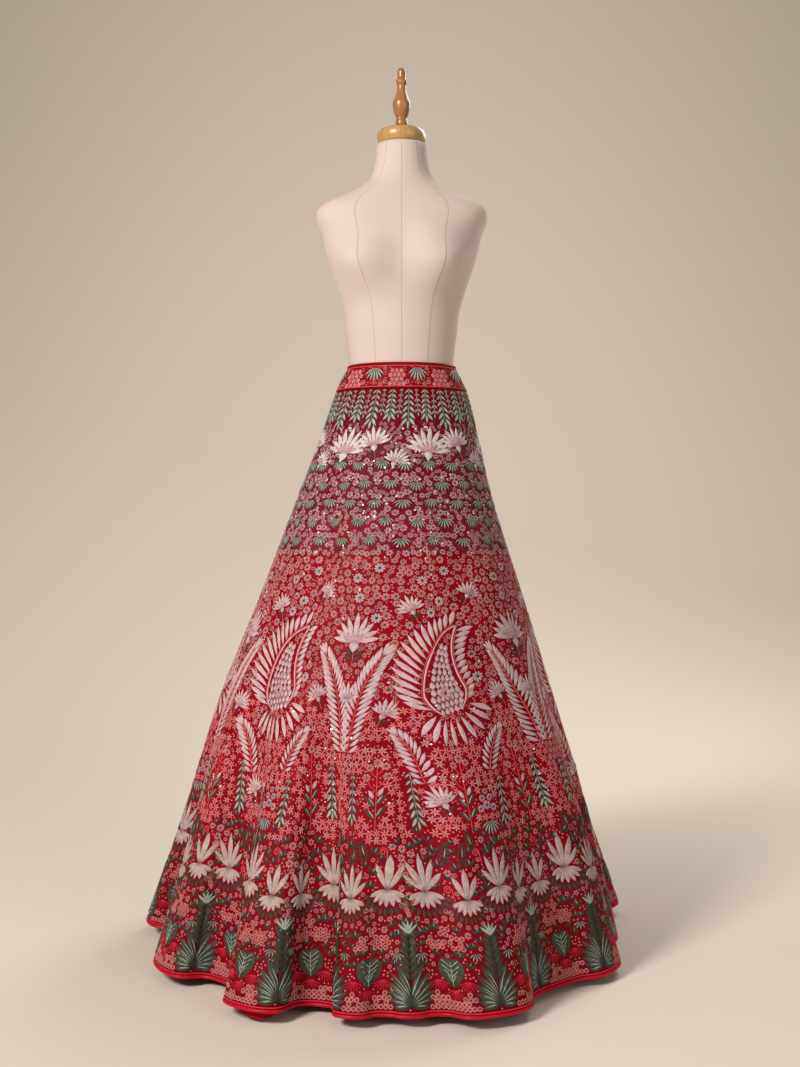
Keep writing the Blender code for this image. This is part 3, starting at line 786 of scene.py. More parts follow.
def lotus(scale, petals):
    """A ribbed half-round bloom over a fringe of leaflets and an arc of florets, with a bud above it."""
    mm, group = MM * scale, Group()
    top = 22 * mm
    for share in fanned(7):
        rib = petal(29 * mm, 7.8 * mm, 1.9 * MM, rows=5, belly=1.4, fullness=0.6)
        group.sew("blush", rib, 3 * share * mm, top, 180 + share * 66, 0.15 * MM)
    for share in fanned(11):
        x, y = from_up(180 + share * 70, 27.5 * mm)
        group.sew("green", petal(16.5 * mm, 6.0 * mm, 1.1 * MM, rows=3), x, top + y, 180 + share * 70)
    for k, share in enumerate(fanned(8)):
        x, y = from_up(180 + share * 64, 48 * mm)
        group += flower(4.6 * mm, 5, "floret", 0.24, 1.3 * MM).put(x=x, y=top + y, angle=17.0 * k)
    for angle, length, width in BUDS[petals]:
        group.sew("blush", feather(length * mm, width * mm), from_up(angle, 4 * mm)[0], top, angle, 0.1 * MM)
        for share in (0.45, 0.62, 0.78):
            x, y = from_up(angle, length * mm * share)
            group.sew("knot", knot(0.9 * MM), x, top + y, lift=1.2 * MM)
    return group


def leaf_plant(scale):
    """A border plant: a bush of broad leaves from one root, and a spike of leaf pairs with a pale tuft."""
    mm, group = MM * scale, Group()
    leaves = (84, 29, 11.5), (67, 34, 12.5), (51, 40, 13.0), (36, 47, 13.0), (22, 55, 12.5), (8, 62, 11.5)
    for angle, length, width in leaves:
        for side in (-1, 1):
            leaf = petal(length * mm, width * mm, 1.6 * MM, rows=6, columns=4, belly=0.95, bend=0.20 * side)
            group.sew("green", leaf, side * MM, 4 * MM, -side * angle, 0.1 * MM)
            for shift, share in ((-1.5, 0.22), (1.5, 0.34)):
                x, y = from_up(-side * angle, share * length * mm)
                x += shift * MM * math.cos(math.radians(angle))
                streak = petal(length * 0.50 * mm, 1.5 * MM, 0.7 * MM, bend=0.26 * side)
                group.sew("silver", streak, x, 4 * MM + y, -side * (angle + 2), 1.4 * MM)
    for share in np.arange(8) / 7:
        for side in (-1, 1):
            leaf = petal((27 - 9 * share) * mm, 6.6 * mm, 1.2 * MM, bend=0.10 * side)
            group.sew("green", leaf, 0, (40 + 66 * share) * mm, -side * (36 - 8 * share), 0.5 * MM)
    for angle in (-46, -24, 0, 24, 46):
        group.sew("silver", petal(20 * mm, 4.6 * mm, 1.1 * MM), 0, 104 * mm, angle, 0.8 * MM)
    return group.line("bead", [(0, 2 * MM), (0, 50 * mm), (0, 104 * mm)], 1.8, 2.2)


def heart_leaf(scale):
    """A heart-shaped leaf, its halves drawn up from the point, with pale veins and a short curved stalk."""
    mm, group = MM * scale, Group()
    for side in (-1, 1):
        half = petal(50 * mm, 30 * mm, 1.7 * MM, rows=9, columns=4, belly=1.45, fullness=0.55)
        group.sew("green", half, angle=-side * 15)
        for low, reach in ((10, 8), (18, 13), (26, 16), (34, 15)):
            group.line("silver", [(0, low * mm), (side * reach * mm, (low + 11) * mm)], 1.2, 0.6, 1.7 * MM)
    group.line("silver", [(0, 3 * mm), (0, 42 * mm)], 1.3, 0.7, 1.6 * MM)
    return group.line("green", [(0, 41 * mm), (2 * mm, 50 * mm), (7 * mm, 56 * mm)], 2.2, 1.2)


def line_fan(count, length, spread, thread="line"):
    """Straight stitches that spread upwards from one point."""
    group = Group()
    for share in fanned(count):
        line = np.stack(from_up(-share * spread / 2, np.array([0.12, 0.56, 1.0]) * length), axis=1)
        group.line(thread, line, 1.0, 0.8)
    return group


def curl(size):
    """A stem that ends in a curl."""
    turn = np.linspace(0, 1.7 * TAU, 24)
    reach = size * 0.36 * (1 - turn / turn[-1] * 0.80)
    spiral = np.stack([reach * np.cos(turn) - size * 0.36, reach * np.sin(turn)], axis=1)
    stem = [(0.10 * size, -size * 0.9), (0.02 * size, -size * 0.45)]
    return Group().line("coral", np.concatenate([stem, spiral]), 1.5, 0.9)


def flower_stem(height):
    """A coral stem with florets at its top, buds below them and pairs of leaves up it."""
    group = Group().line("coral", [(0, 0), (1 * MM, height * 0.5), (0, height)], 1.5, 0.9)
    for side, share in ((-1, 0.58), (1, 0.62), (-1, 0.78), (1, 0.82)):
        reach, low = 0.022 * (1.35 - share), height * share
        line = (0, low), (side * reach * 0.6, low + reach * 0.45), (side * reach, low + reach * 1.3)
        group.line("coral", line, 1.2, 0.8)
        group += flower(6.6 * MM, 7).put(x=line[2][0], y=line[2][1], angle=40 * share)
    group += flower(8.2 * MM, 8).put(y=height, angle=10)
    for side, share in ((-1, 0.14), (1, 0.18), (-1, 0.32), (1, 0.36)):
        low, angle = height * share, -side * 34
        group.sew("green", petal(27 * MM, 7.8 * MM, 1.1 * MM, bend=0.15 * side), 0, low, angle)
        group.sew("silver", petal(19 * MM, 2.6 * MM, 0.6 * MM), side * 2 * MM, low + 3 * MM, angle, 0.7 * MM)
    for side, share in ((-1, 0.46), (1, 0.50)):
        group.sew("pale", petal(17 * MM, 7.2 * MM), side * 4 * MM, height * share, -side * 30)
    return group


def leaf_trio(length):
    """Three small leaves from one point, with a pale stitch on the middle one."""
    group = Group()
    for angle in (-50, 0, 50):
        group.sew("green", petal(length, length * 0.34, rows=3), angle=angle)
    streak = petal(length * 0.7, length * 0.11, 0.6 * MM, rows=2)
    return group.sew("silver", streak, 0, length * 0.18, 0, 1.0 * MM)


def sprig(length):
    """A short dark sprig with a pale stitch down it."""
    group = Group().line("green", [(0, 0), (0.8 * MM, length * 0.5), (0, length)], 1.3, 0.9)
    for share in (0, 0.25, 0.5, 0.75, 1):
        for side in (-1, 1):
            leaf = petal(length * (0.40 - 0.14 * share), length * 0.105, 1.0 * MM, rows=3)
            group.sew("green", leaf, 0, length * (0.08 + 0.80 * share), -side * (48 - 14 * share))
    return group.sew("silver", petal(length * 0.5, 1.6 * MM, 0.5 * MM), 0, length * 0.35, 0, 0.9 * MM)


# ---- Drawing one panel


class Panel:
    """One panel laid flat: motifs by thread, and a map of the places already worked."""

    STEP = 1.0 * MM
    MAP_HALF = 175

    def __init__(self, length, width_at, seed):
        self.length, self.width_at = length, width_at
        self.rng = np.random.default_rng(seed)
        self.work = {}
        up = np.arange(int(length / self.STEP) + 2) * self.STEP
        across = (np.arange(2 * self.MAP_HALF + 1) - self.MAP_HALF) * self.STEP
        self.taken = np.abs(across)[None, :] > (width_at(up) / 2 - 0.5 * MM)[:, None]
        self.taken[(up > length - 1.5 * MM) | (up < 4 * MM)] = True

    def width(self, y):
        """How wide the panel is at a place."""
        return float(self.width_at(y))

    def cells(self, x, y):
        """Rows and columns of the map at flat places."""
        row = np.clip(np.rint(y / self.STEP).astype(int), 0, self.taken.shape[0] - 1)
        column = np.clip(np.rint(x / self.STEP).astype(int) + self.MAP_HALF, 0, self.taken.shape[1] - 1)
        return row, column

    def add(self, group, x=0.0, y=0.0, angle=0.0, block=True):
        """Works a group at a place."""
        for thread, motif in group.put(x=x, y=y, angle=angle):
            self.work.setdefault(thread, []).append(motif)
            if block:
                self.take(motif)

    def take(self, motif):
        """Marks the cells that a motif's triangles cover."""
        corners = motif.points[:, :2][motif.tris]
        longest = np.linalg.norm(corners - np.roll(corners, 1, axis=1), axis=2).max()
        parts = max(2, min(24, int(longest / self.STEP * 1.5)))
        a, b = np.meshgrid(np.arange(parts + 1), np.arange(parts + 1))
        keep = a + b <= parts
        a, b = a[keep] / parts, b[keep] / parts
        spots = np.einsum("wk,tkc->twc", np.stack([a, b, 1 - a - b], axis=1), corners).reshape(-1, 2)
        self.taken[self.cells(spots[:, 0], spots[:, 1])] = True

    def free(self, x, y, radius):
        """Whether a disc there touches nothing worked so far."""
        reach = int(math.ceil(radius / self.STEP))
        row, column = self.cells(np.array(x), np.array(y))
        rows, columns = self.taken.shape
        if not (reach <= row < rows - reach and reach <= column < columns - reach):
            return False
        offset = np.arange(-reach, reach + 1)
        disc = offset[:, None] ** 2 + offset[None, :] ** 2 <= (radius / self.STEP) ** 2
        window = self.taken[row - reach : row + reach + 1, column - reach : column + reach + 1]
        return not (window & disc).any()

    def fill(self, low, high, pitch, radius, what, jitter=0.25, within=None):
        """Works what, a group or a function of the draws, at the free places of a jittered lattice.

        The lattice runs between two ways up the panel. Its pitch and the free radius are in mm.
        """
        pitch, radius, rng = pitch * MM, radius * MM, self.rng
        for row in range(int((high - low) / (pitch * 0.87)) + 1):
            y = low + row * pitch * 0.87
            count = int(self.width(y) / pitch) + 2
            for column in range(count):
                x = (column - (count - 1) / 2 + 0.5 * (row % 2)) * pitch
                x += rng.uniform(-jitter, jitter) * pitch
                spot = y + rng.uniform(-jitter, jitter) * pitch
                if (within is None or within(x, spot)) and self.free(x, spot, radius):
                    group = what(rng) if callable(what) else what
                    self.add(group, x, spot, rng.uniform(-45, 45))


def either(share, first, second):
    """A function of the draws that gives the first group in that share of places, and else the second."""
    return lambda rng: first if rng.random() < share else second


def net_stars(radius):
    """The stars of a net, three in ten of them paler."""
    return either(0.3, *(Group().sew(thread, star(radius)) for thread in ("star", "net")))


def drawn_cloth(kali):
    """The designs of the two kinds of panel and of the seam between them."""
    length = kali.ways[-1]
    kinds = [Panel(length, kali.width, seed) for seed in (7, 8)]
    seam = Panel(length, lambda y: np.full(np.shape(y), SEAM_STRIP), 3)
    seam_run(kinds, seam, kali)
    for kind, panel in enumerate(kinds):
        border(panel)
        lotus_row(panel, kali.up(0.176), kind)
        star_net(panel, kali.up(0.300), kind)
        great_motifs(panel, kali.up, kind)
        palm_rows(panel, kali.up)
        top_row(panel, kali.up, kind)
        backfill(panel, kali.up)
    return kinds, seam


def seam_run(panels, seam, kali):
    """What crosses the seam: a border plant, then stars and flowers one above the other, then a spray."""

    def astride(group, y, angle=0.0, x=0.0):
        """Works a group over the seam, and marks its place on both edges of the panels."""
        seam.add(group, x, y, angle)
        for panel in panels:
            for side in (-1, 1):
                for _, motif in group.put(x=x + side * panel.width(y) / 2, y=y, angle=angle):
                    panel.take(motif)

    rng = seam.rng
    astride(leaf_plant(1.12), 8 * MM)
    palms = palm_heights(kali.up)[::2]
    for y in palms:
        astride(palm_fan(20 * MM), y + 7 * MM)
    y = 0.150
    while y < kali.up(0.985):
        height = float(kali.height_at(y))
        if np.abs(palms - y - 7 * MM).min() < 17 * MM:
            y += 2 * MM
            continue
        angle = rng.uniform(0, 60)
        if 0.315 < height < 0.50:
            group, size = Group().sew("net", star(7.6 * MM)), 6.4 * MM
        elif rng.random() < 0.45:
            group, size = dot(4.0 * MM, "dot" if height < 0.3 else "floret"), 4.4 * MM
        else:
            size = rng.uniform(5.2, 7.4) * MM
            group = flower(size, 7, "lilac" if height > 0.77 else "floret")
        astride(group, y + size, angle, rng.uniform(-6, 6) * MM)
        y += 1.8 * size + rng.uniform(0.2, 2.5) * MM
    astride(hanging_spray(6, 68 * MM, 25 * MM), seam.length - 2.5 * MM)


def border(panel):
    """The hem border: a plant in the middle, heart leaves at its sides, mounds of rings and fans of lines."""
    width = panel.width(0.04)
    panel.add(leaf_plant(1.08), 0, 8 * MM)
    line = [(x, 2.0 * MM) for x in np.linspace(-0.5, 0.5, 61) * panel.width(2.0 * MM)]
    panel.add(Group().line("line", line, 2.4, 1.4))
    for side in (-1, 1):
        middle = side * width / 4
        panel.add(heart_leaf(0.96), middle, 39 * MM)
        for shift, high in ((-26, 52), (26, 52), (0, 37)):
            panel.add(line_fan(8, 17 * MM, 128), middle + shift * MM, high * MM, 180)
        panel.fill(
            9 * MM, 58 * MM, 8.3, 2.9, dot(4.5 * MM), 0.05,
            lambda x, y, m=middle: abs(x - m) < 0.060 and y < 0.056 - abs(x - m) * 0.3,
        )
        for shift, high in ((-0.017, 0.108), (0.017, 0.108), (0.0, 0.121)):
            panel.fill(
                high - 14 * MM, high + 14 * MM, 8.8, 3.5, dot(4.4 * MM), 0.08,
                lambda x, y, a=middle + shift, b=high: math.hypot(x - a, (y - b) * 1.2) < 0.0150,
            )
        for x in (middle - 0.046, middle + 0.046):
            if panel.free(x, 0.088, 5 * MM):
                panel.add(palm_fan(15 * MM, 5, 150, 0.25), x, 0.094)


def lotus_row(panel, low, kind):
    """Blooms across the panel with sprigs and curls between them."""
    width = panel.width(low)
    rows = (
        ((-0.36, 1.0, 10, 5), (-0.11, 0.90, 0, 3), (0.135, 1.02, 14, 5), (0.375, 0.92, 0, 3)),
        ((-0.37, 0.92, 0, 3), (-0.12, 1.02, 12, 5), (0.125, 0.90, 2, 5), (0.37, 1.0, 14, 3)),
    )
    for place, scale, lift, petals in rows[kind]:
        panel.add(lotus(scale, petals), place * width, low + lift * MM)
    for k in range(9):
        x = (k / 8 - 0.5) * width * 0.88
        for high in (low + 0.030, low + 0.062, low + 0.094):
            y = high + panel.rng.uniform(-7, 7) * MM
            if not panel.free(x, y, 8.0 * MM):
                continue
            if (k + int(high * 1000)) % 3 == 0:
                panel.add(curl(19 * MM), x + 6 * MM, y)
            else:
                panel.add(sprig(34 * MM), x, y - 16 * MM, panel.rng.uniform(-25, 25))


def star_net(panel, low, kind):
    """Tall flower stems, hanging sprays and small blooms that stand in the net of stars."""
    width = panel.width(low)
    stems = (((124, 0.01, -4),), ((138, -0.34, -4), (112, 0.31, 2)))
    sprays = (
        ((7, 84, 23.5, -0.36, 98), (6, 74, 21.5, 0.35, 84)),
        ((7, 84, 23.5, -0.15, 106), (6, 74, 21.5, 0.12, 94)),
    )
    for height, place, lift in stems[kind]:
        panel.add(flower_stem(height * MM), place * width, low + lift * MM)
    for tiers, length, spread, place, lift in sprays[kind]:
        panel.add(hanging_spray(tiers, length * MM, spread * MM), place * width, low + lift * MM)
    if kind == 0:
        panel.add(bloom(0.66).put(angle=24), -0.17 * width, low + 44 * MM)
        panel.add(palm_fan(24 * MM), 0.18 * width, low + 12 * MM)
        cluster = (-13, 12, 6.6), (0, 17, 7.6), (13, 12, 6.6), (-7, 29, 6.0), (8, 29, 6.0), (1, 40, 5.2)
        for x, y, size in cluster:
            panel.add(flower(size * MM, 8, "lilac", 0.30), 0.18 * width + x * MM, low + (22 + y) * MM)
    panel.add(sprig(34 * MM), -0.02 * width, low - 34 * MM, 12)


def great_motifs(panel, up, kind):
    """A great feathered paisley over a small frond, or two tall fronds that part round a bloom."""
    if kind:
        tall = frond(178 * MM, 34 * MM, 17, 24)
        work = [(tall, -9, 0.425, 5), (tall.put(mirror=True), 9, 0.425, -5)]
        work += [(bloom(1.12), 0, 0.605, 0), (bloom(0.62), 0, 0.512, 0)]
        work += [(bloom(0.58), -66, 0.512, 24), (bloom(0.62), 68, 0.486, -22)]
    else:
        work = [(kairi(1.20).put(mirror=True), 10, 0.485, 17)]
        work += [(bloom(0.62), -46, 0.662, 20), (bloom(0.54), 53, 0.690, -24)]
        work += [(frond(88 * MM, 27 * MM, 9, 26), -56, 0.375, 10)]
        work += [(frond(70 * MM, 22 * MM, 8, 26).put(mirror=True), 60, 0.392, -12)]
    for group, x, height, angle in work:
        panel.add(group, x * MM, up(height), angle)


def palm_heights(up):
    """The ways up of the rows of palm fans."""
    return np.linspace(up(0.785), up(0.925), 5)


def palm_rows(panel, up):
    """Palm fans in staggered rows: one in the middle, then two, and so on."""
    for row, y in enumerate(palm_heights(up)):
        for place in ((-0.26, 0.25) if row % 2 else (0.02,)):
            spot = y + panel.rng.uniform(-3, 3) * MM
            x = (place + panel.rng.uniform(-0.02, 0.02)) * panel.width(y)
            panel.add(palm_fan(20 * MM), x, spot + 7 * MM)


def top_row(panel, up, kind):
    """The hanging sprays under the band, and white blooms below them."""
    top = panel.length - 2.5 * MM
    width = panel.width(top - 0.03)
    for tiers, length, spread, place in ((6, 56, 22.5, 0), (5, 50, 12, -0.25), (5, 54, 12, 0.25)):
        panel.add(hanging_spray(tiers, length * MM, spread * MM), place * width, top)
    blooms = ((1.08, 0, 0.948, -6),), ((0.84, -19, 0.962, 12), (0.62, 24, 0.930, -18))
    for scale, x, height, angle in blooms[kind]:
        panel.add(bloom(scale, "white"), x * MM, up(height), angle)


def backfill(panel, up):
    """Florets, rings, stars, knots and sequins in what is left, band by band."""
    net_edge = up(0.290)
    panel.fill(
        up(0.275), up(0.515), 13.2, 3.7, net_stars(8.2 * MM), 0.05,
        lambda x, y: y > net_edge + 13 * MM * math.sin(x * 62),
    )
    fillings = (
        (0.765, 0.945, 9.8, 3.9, lambda rng: flower(rng.uniform(5.0, 6.3) * MM, 6, "lilac", 0.30), 0.20),
        (0.765, 1.015, 6.8, 2.7, flower(3.6 * MM, 5, "lilac", 0.30), 0.25),
        (0.765, 1.030, 4.6, 1.4, Group().sew("knot", knot(1.5 * MM)), 0.3),
        (0.500, 0.760, 46.0, 8.0, flower(9.0 * MM, 9, "pale", 0.30), 0.30),
        (0.500, 0.762, 15.5, 6.2, flower(7.5 * MM, 8, "floret", 0.32), 0.28),
        (0.480, 0.762, 11.0, 4.4, flower(5.2 * MM, 6, "floret", 0.30), 0.28),
        (0.480, 0.762, 8.0, 3.2, dot(3.9 * MM, "floret"), 0.25),
        (0.140, 0.300, 12.5, 5.2, either(0.36, flower(5.8 * MM, 6), leaf_trio(15 * MM)), 0.3),
        (0.095, 0.300, 8.6, 3.8, either(0.38, dot(3.7 * MM), leaf_trio(11.5 * MM)), 0.3),
    )
    for low, high, *rest in fillings:
        panel.fill(up(low), up(high), *rest)
    for low, high in ((8 * MM, up(0.76)), (up(0.94), up(1.03))):
        panel.fill(low, high, 6.4, 2.3, Group().sew("knot_pink", knot(1.7 * MM)), 0.3)
    # Sequins are few, and sit on top of what is worked
    rng = panel.rng
    for _ in range(76):
        low, high = (up(0.30), up(0.99)) if rng.random() < 0.5 else (up(0.76), up(1.0))
        y = rng.uniform(low, high)
        x = rng.uniform(-0.45, 0.45) * panel.width(y)
        disc = low_cone(rng.uniform(1.3, 2.0) * MM, 1.9 * MM, 1.9 * MM, 6, rng.uniform(0.05, 0.3) * MM)
        panel.add(Group().sew("sequin", disc), x, y, rng.uniform(0, 360), block=False)


def sewn(name, surface, finish, lots):
    """Lays flat motifs on a surface. A lot is motifs, place(copy, x, y), its copies and its chart(x, y)."""
    points, tris, charts, threads, start = [], [], [], [], 0
    for motifs, place, copies, chart in lots:
        flat = joined(motifs)
        for copy in copies:
            share, height = place(copy, flat.points[:, 0], flat.points[:, 1])
            tris.append(flat.tris + start)
            points.append(surface.at(share, height, flat.points[:, 2]))
            charts.append(chart(flat.points[:, 0], flat.points[:, 1]))
            threads.append(flat.thread / MM)
            start += len(flat.points)
    points, tris, charts, threads = map(np.concatenate, (points, tris, charts, threads))
    mesh_object(name, points, tris, [finish], None, {"OFBake": charts, "Thread": threads})


# ---- Finishes


class Field:
    """A shader socket that takes part in Python sums."""

    def __init__(self, shades, socket):
        self.shades, self.socket = shades, socket

    def sum(self, operation, *inputs):
        return self.shades.node("ShaderNodeMath", {"operation": operation}, dict(enumerate(inputs)))

    def __add__(self, other):
        return self.sum("ADD", self, other)

    def __sub__(self, other):
        return self.sum("SUBTRACT", self, other)

    def __rsub__(self, other):
        return self.sum("SUBTRACT", other, self)

    def __mul__(self, other):
        return self.sum("MULTIPLY", self, other)

    def __truediv__(self, other):
        return self.sum("DIVIDE", self, other)

    def sine(self):
        return self.sum("SINE", self)

    def kept(self, low=0.0, high=1.0):
        """The value kept between two limits."""
        return self.sum("MINIMUM", self.sum("MAXIMUM", self, low), high)


class Shades:
    """A material's node tree with one Principled surface."""

    def __init__(self, name, colour, roughness, **constants):
        self.material = bpy.data.materials.new(name)
        self.material.use_nodes = True
        self.tree = self.material.node_tree
        self.surface = self.tree.nodes["Principled BSDF"]
        self.set("Base Color", (*colour, 1.0))
        self.set("Roughness", roughness)
        for socket, value in constants.items():
            self.set(socket.replace("_", " "), value)

    def set(self, socket, value):
        """Sets or links one of the surface's sockets."""
        self.put(self.surface.inputs[socket], value)

    def put(self, socket, value):
        """Sets or links a socket."""
        if isinstance(value, Field):
            self.tree.links.new(value.socket, socket)
        else:
            socket.default_value = value

    def node(self, kind, settings=None, inputs=None, output=0):
        """Adds a node: its settings first, then its sockets' values or links."""
        made = self.tree.nodes.new(kind)
        for name, value in (settings or {}).items():
            setattr(made, name, value)
        for key, value in (inputs or {}).items():
            self.put(made.inputs[key], value)
        return Field(self, made.outputs[output])

    def chart(self, name):
        """The piece's own chart of places."""
        return self.node("ShaderNodeUVMap", {"uv_map": name})

    def object_place(self):
        """The place in the piece."""
        return self.node("ShaderNodeTexCoord", output="Object")

    def parts(self, vector):
        """A vector's x and y."""
        x = self.node("ShaderNodeSeparateXYZ", {}, {0: vector})
        return x, Field(self, x.socket.node.outputs[1])

    def noise(self, vector, stretch, scale, detail=2.0, roughness=0.5):
        """Noise from 0 to 1, along a vector that is stretched first."""
        if stretch:
            vector = self.node("ShaderNodeVectorMath", {"operation": "MULTIPLY"}, {0: vector, 1: stretch})
        inputs = {"Vector": vector, "Scale": scale, "Detail": detail, "Roughness": roughness}
        return self.node("ShaderNodeTexNoise", {}, inputs)

    def coloured(self, share, first, second):
        """The surface's colour, between two by a share."""
        inputs = {0: share, 6: (*first, 1.0), 7: (*second, 1.0)}
        self.set("Base Color", self.node("ShaderNodeMix", {"data_type": "RGBA"}, inputs, 2))

    def relief(self, height, distance, strength):
        """Bumps from a height field."""
        inputs = {"Strength": strength, "Distance": distance, "Height": height}
        self.set("Normal", self.node("ShaderNodeBump", {}, inputs))


def scaled_colour(colour, factor):
    """A colour made lighter or darker."""
    return tuple(min(1.0, channel * factor) for channel in colour)


def silk(name, panel=True):
    """Slubby crimson raw silk, on a chart that covers one panel. On a panel, shade is painted into its colour
    as well.
    """
    shades = Shades(name, CRIMSON, 0.55, Specular_IOR_Level=0.06)
    chart = shades.chart("OFBake")
    cloud = shades.noise(chart, (3.0, 10.0, 1.0), 1.6, 3.0)
    slub = shades.noise(chart, (40.0, 900.0, 1.0), 1.0)
    share = ((cloud - 0.5) * 1.3 + (slub - 0.5) * 0.9 + 0.5).kept()
    if panel:
        # Painted shade: darker towards the hem, where less light falls, and darker under the rows of palm
        # fans, where the dense embroidery shades the cloth
        _, upward = shades.parts(chart)
        share = share * (upward * 2.4 + 0.25).kept() * (1 - ((upward - 0.755) * 60.0).kept() * 0.6)
    shades.coloured(share, CRIMSON_DEEP, CRIMSON)
    shades.relief(slub, 0.25 * MM, 0.6)
    return shades.material


def thread(name, colour, dark, roughness=0.5, pitch=0.9, root=3.0, cloudy=0.45):
    """Stitches laid side by side, with painted light and shade on them. pitch is two stitches' width, root
    how far up a motif is painted in shade, in mm.
    """
    shades = Shades(f"thread_{name}", colour, roughness, Specular_IOR_Level=0.10)
    across, along = shades.parts(shades.chart("Thread"))
    # Painted light and shade across the stitches: each crest lighter, the groove beside it darker
    strand = (across * (TAU / pitch)).sine() * 0.5 + 0.5
    cloud = shades.noise(shades.chart("OFBake"), (60.0, 110.0, 1.0), 1.0)
    # Painted shade at a motif's root, up to root mm from its start, over the stitches' painted light and
    # shade and the cloudy tone
    share = (strand * (1 - cloudy) + (cloud * 2.4 - 0.7).kept() * cloudy) * (along / root).kept(0.25)
    # The dark end is painted shade; the end above the thread's own colour is a painted highlight on the
    # crests
    shades.coloured(share.kept(), scaled_colour(colour, dark), scaled_colour(colour, 1.15))
    shades.relief(strand, 0.15 * MM, 0.5)
    return shades.material


def plain(name, colour, roughness, **constants):
    """One even finish."""
    return Shades(name, colour, roughness, **constants).material


def linen(name):
    """Stretched ivory jersey."""
    shades = Shades(name, IVORY, 0.88, Sheen_Weight=0.15, Specular_IOR_Level=0.2)
    place = shades.object_place()
    cloud = shades.noise(place, None, 9.0, 3.0)
    knit = shades.noise(place, (1.0, 1.0, 2.2), 900.0, 1.0)
    share = ((cloud - 0.5) * 1.2 + (knit - 0.5) * 0.5 + 0.5).kept()
    shades.coloured(share, scaled_colour(IVORY, 0.90), scaled_colour(IVORY, 1.06))
    shades.relief(knit, 0.2 * MM, 0.5)
    return shades.material


def wood(name, colour, depth):
    """Varnished turned wood with its grain running up."""
    shades = Shades(name, colour, 0.34, Coat_Weight=0.35, Coat_Roughness=0.15)
    place = shades.object_place()
    grain = shades.noise(place, (160.0, 160.0, 9.0), 1.0, 4.0, 0.6)
    broad = shades.noise(place, (40.0, 40.0, 5.0), 1.0)
    share = ((grain - 0.5) * 1.6 + (broad - 0.5) * 1.2 + 0.45).kept()
    shades.coloured(share, colour, scaled_colour(colour, depth))
    return shades.material


# ---- The pieces


def skirt_panels(surface, kali, silk_finish, lining_finish):
    """Each panel's cloth, outside and inside."""
    heights = np.linspace(HEM, SKIRT_SECTIONS[-1, 0], 97)
    height, across = np.meshgrid(heights, np.linspace(0, 1, 39), indexing="ij")
    trimmed = across + (0.5 - across) * FINE_SEAM / kali.width_of(height)
    up = (height - HEM) / (heights[-1] - HEM) * 0.98 + 0.01
    for number in range(PANELS):
        share = (number + trimmed) / PANELS
        outer, inner = surface.at(share, height), surface.at(share, height, -CLOTH)
        inner[[0, -1], :, 2] = outer[[0, -1], :, 2]
        name, node = f"panel_cloth_{number + 1:02d}", f"panel_{number + 1:02d}"
        finishes = [silk_finish, lining_finish]
        piece = wall(name, outer, inner, finishes, node, across * 0.94 + 0.03, up)
        half = "front" if outer[-1, :, 1].mean() < 0 else "back"


def waistband(band, finish):
    """The band's two halves."""
    heights = np.linspace(BAND_BOTTOM + SEAM, BAND_TOP, 11)
    for half, start in (("front", -0.25), ("back", 0.25)):
        height, share = np.meshgrid(heights, start + 0.5 * np.linspace(0.0006, 0.9994, 121), indexing="ij")
        outer = band.at(share, height)
        inner = outer - level(outer) * BAND_CLOTH
        up = (height - heights[0]) / (heights[-1] - heights[0])
        name, node = f"waistband_cloth_{half}", f"waistband_{half}"
        piece = wall(name, outer, inner, [finish], node, (share - start) * 2, up)


def band_work(band, threads):
    """The band's embroidery: a palm fan with florets at its tips, then a net of stars, seven times round."""
    repeats, palm = 7, -0.024
    length = float(band.girths()[12]) / repeats
    panel = Panel(0.0445, lambda y: np.full(np.shape(y), length), 11)
    for y in (2.4 * MM, 42.2 * MM):
        line = [(x, y) for x in np.linspace(-length / 2, length / 2, 9)]
        panel.add(Group().line("coral", line, 1.5, 1.0))
    panel.add(palm_fan(29 * MM, 7, 150, 0.36), palm, 0.038)
    for side in (-1, 1):
        rising = [(palm + side * x, y) for x, y in ((0.016, 0.0405), (0.009, 0.0395), (0.002, 0.036))]
        panel.add(Group().line("coral", rising, 1.3, 0.9))
        panel.add(flower(4.9 * MM, 6), palm + side * 0.0225, 0.0110)
    panel.add(line_fan(4, 15 * MM, 34, "coral"), palm, 0.004)
    panel.fill(0.007, 0.040, 9.8, 3.0, net_stars(5.9 * MM), 0.05, lambda x, y: 0.008 < x < 0.042)
    panel.fill(0.006, 0.041, 9.6, 3.9, flower(4.6 * MM, 6, "floret", 0.26))
    panel.fill(0.005, 0.042, 5.5, 2.2, Group().sew("knot_pink", knot(1.4 * MM)))

    def place(copy, x, y):
        return (copy + 0.63 + x / length) / repeats, BAND_BOTTOM + SEAM + y

    def chart(x, y):
        return np.stack([x / length + 0.5, y / 0.045], axis=1)

    for colour, motifs in panel.work.items():
        sewn(f"band_{colour}", band, threads[colour], [(motifs, place, range(repeats), chart)])


def piping(surface, waist_finish, hem_finish):
    """The corded edges of the band and the hem."""
    turn = np.linspace(0, TAU, 240, endpoint=False)
    line = form_points(np.full_like(turn, BAND_TOP), turn)
    line = line + level(line) * (BAND_GAP + WAIST_CORD_RADIUS)
    line[:, 2] = BAND_TOP + SEAM + WAIST_CORD_RADIUS
    cord("waist_cord", "waist_piping", line, WAIST_CORD_RADIUS, waist_finish)
    share = np.linspace(0, 1, 900, endpoint=False)
    line = surface.at(share, np.full_like(share, HEM), -CLOTH / 2)
    hem = surface.at(share, np.full_like(share, HEM))[:, 2]
    line[:, 2] = hem - SEAM - HEM_CORD_RADIUS - 0.2 * MM
    cord("hem_cord", "hem_piping", line, HEM_CORD_RADIUS, hem_finish)


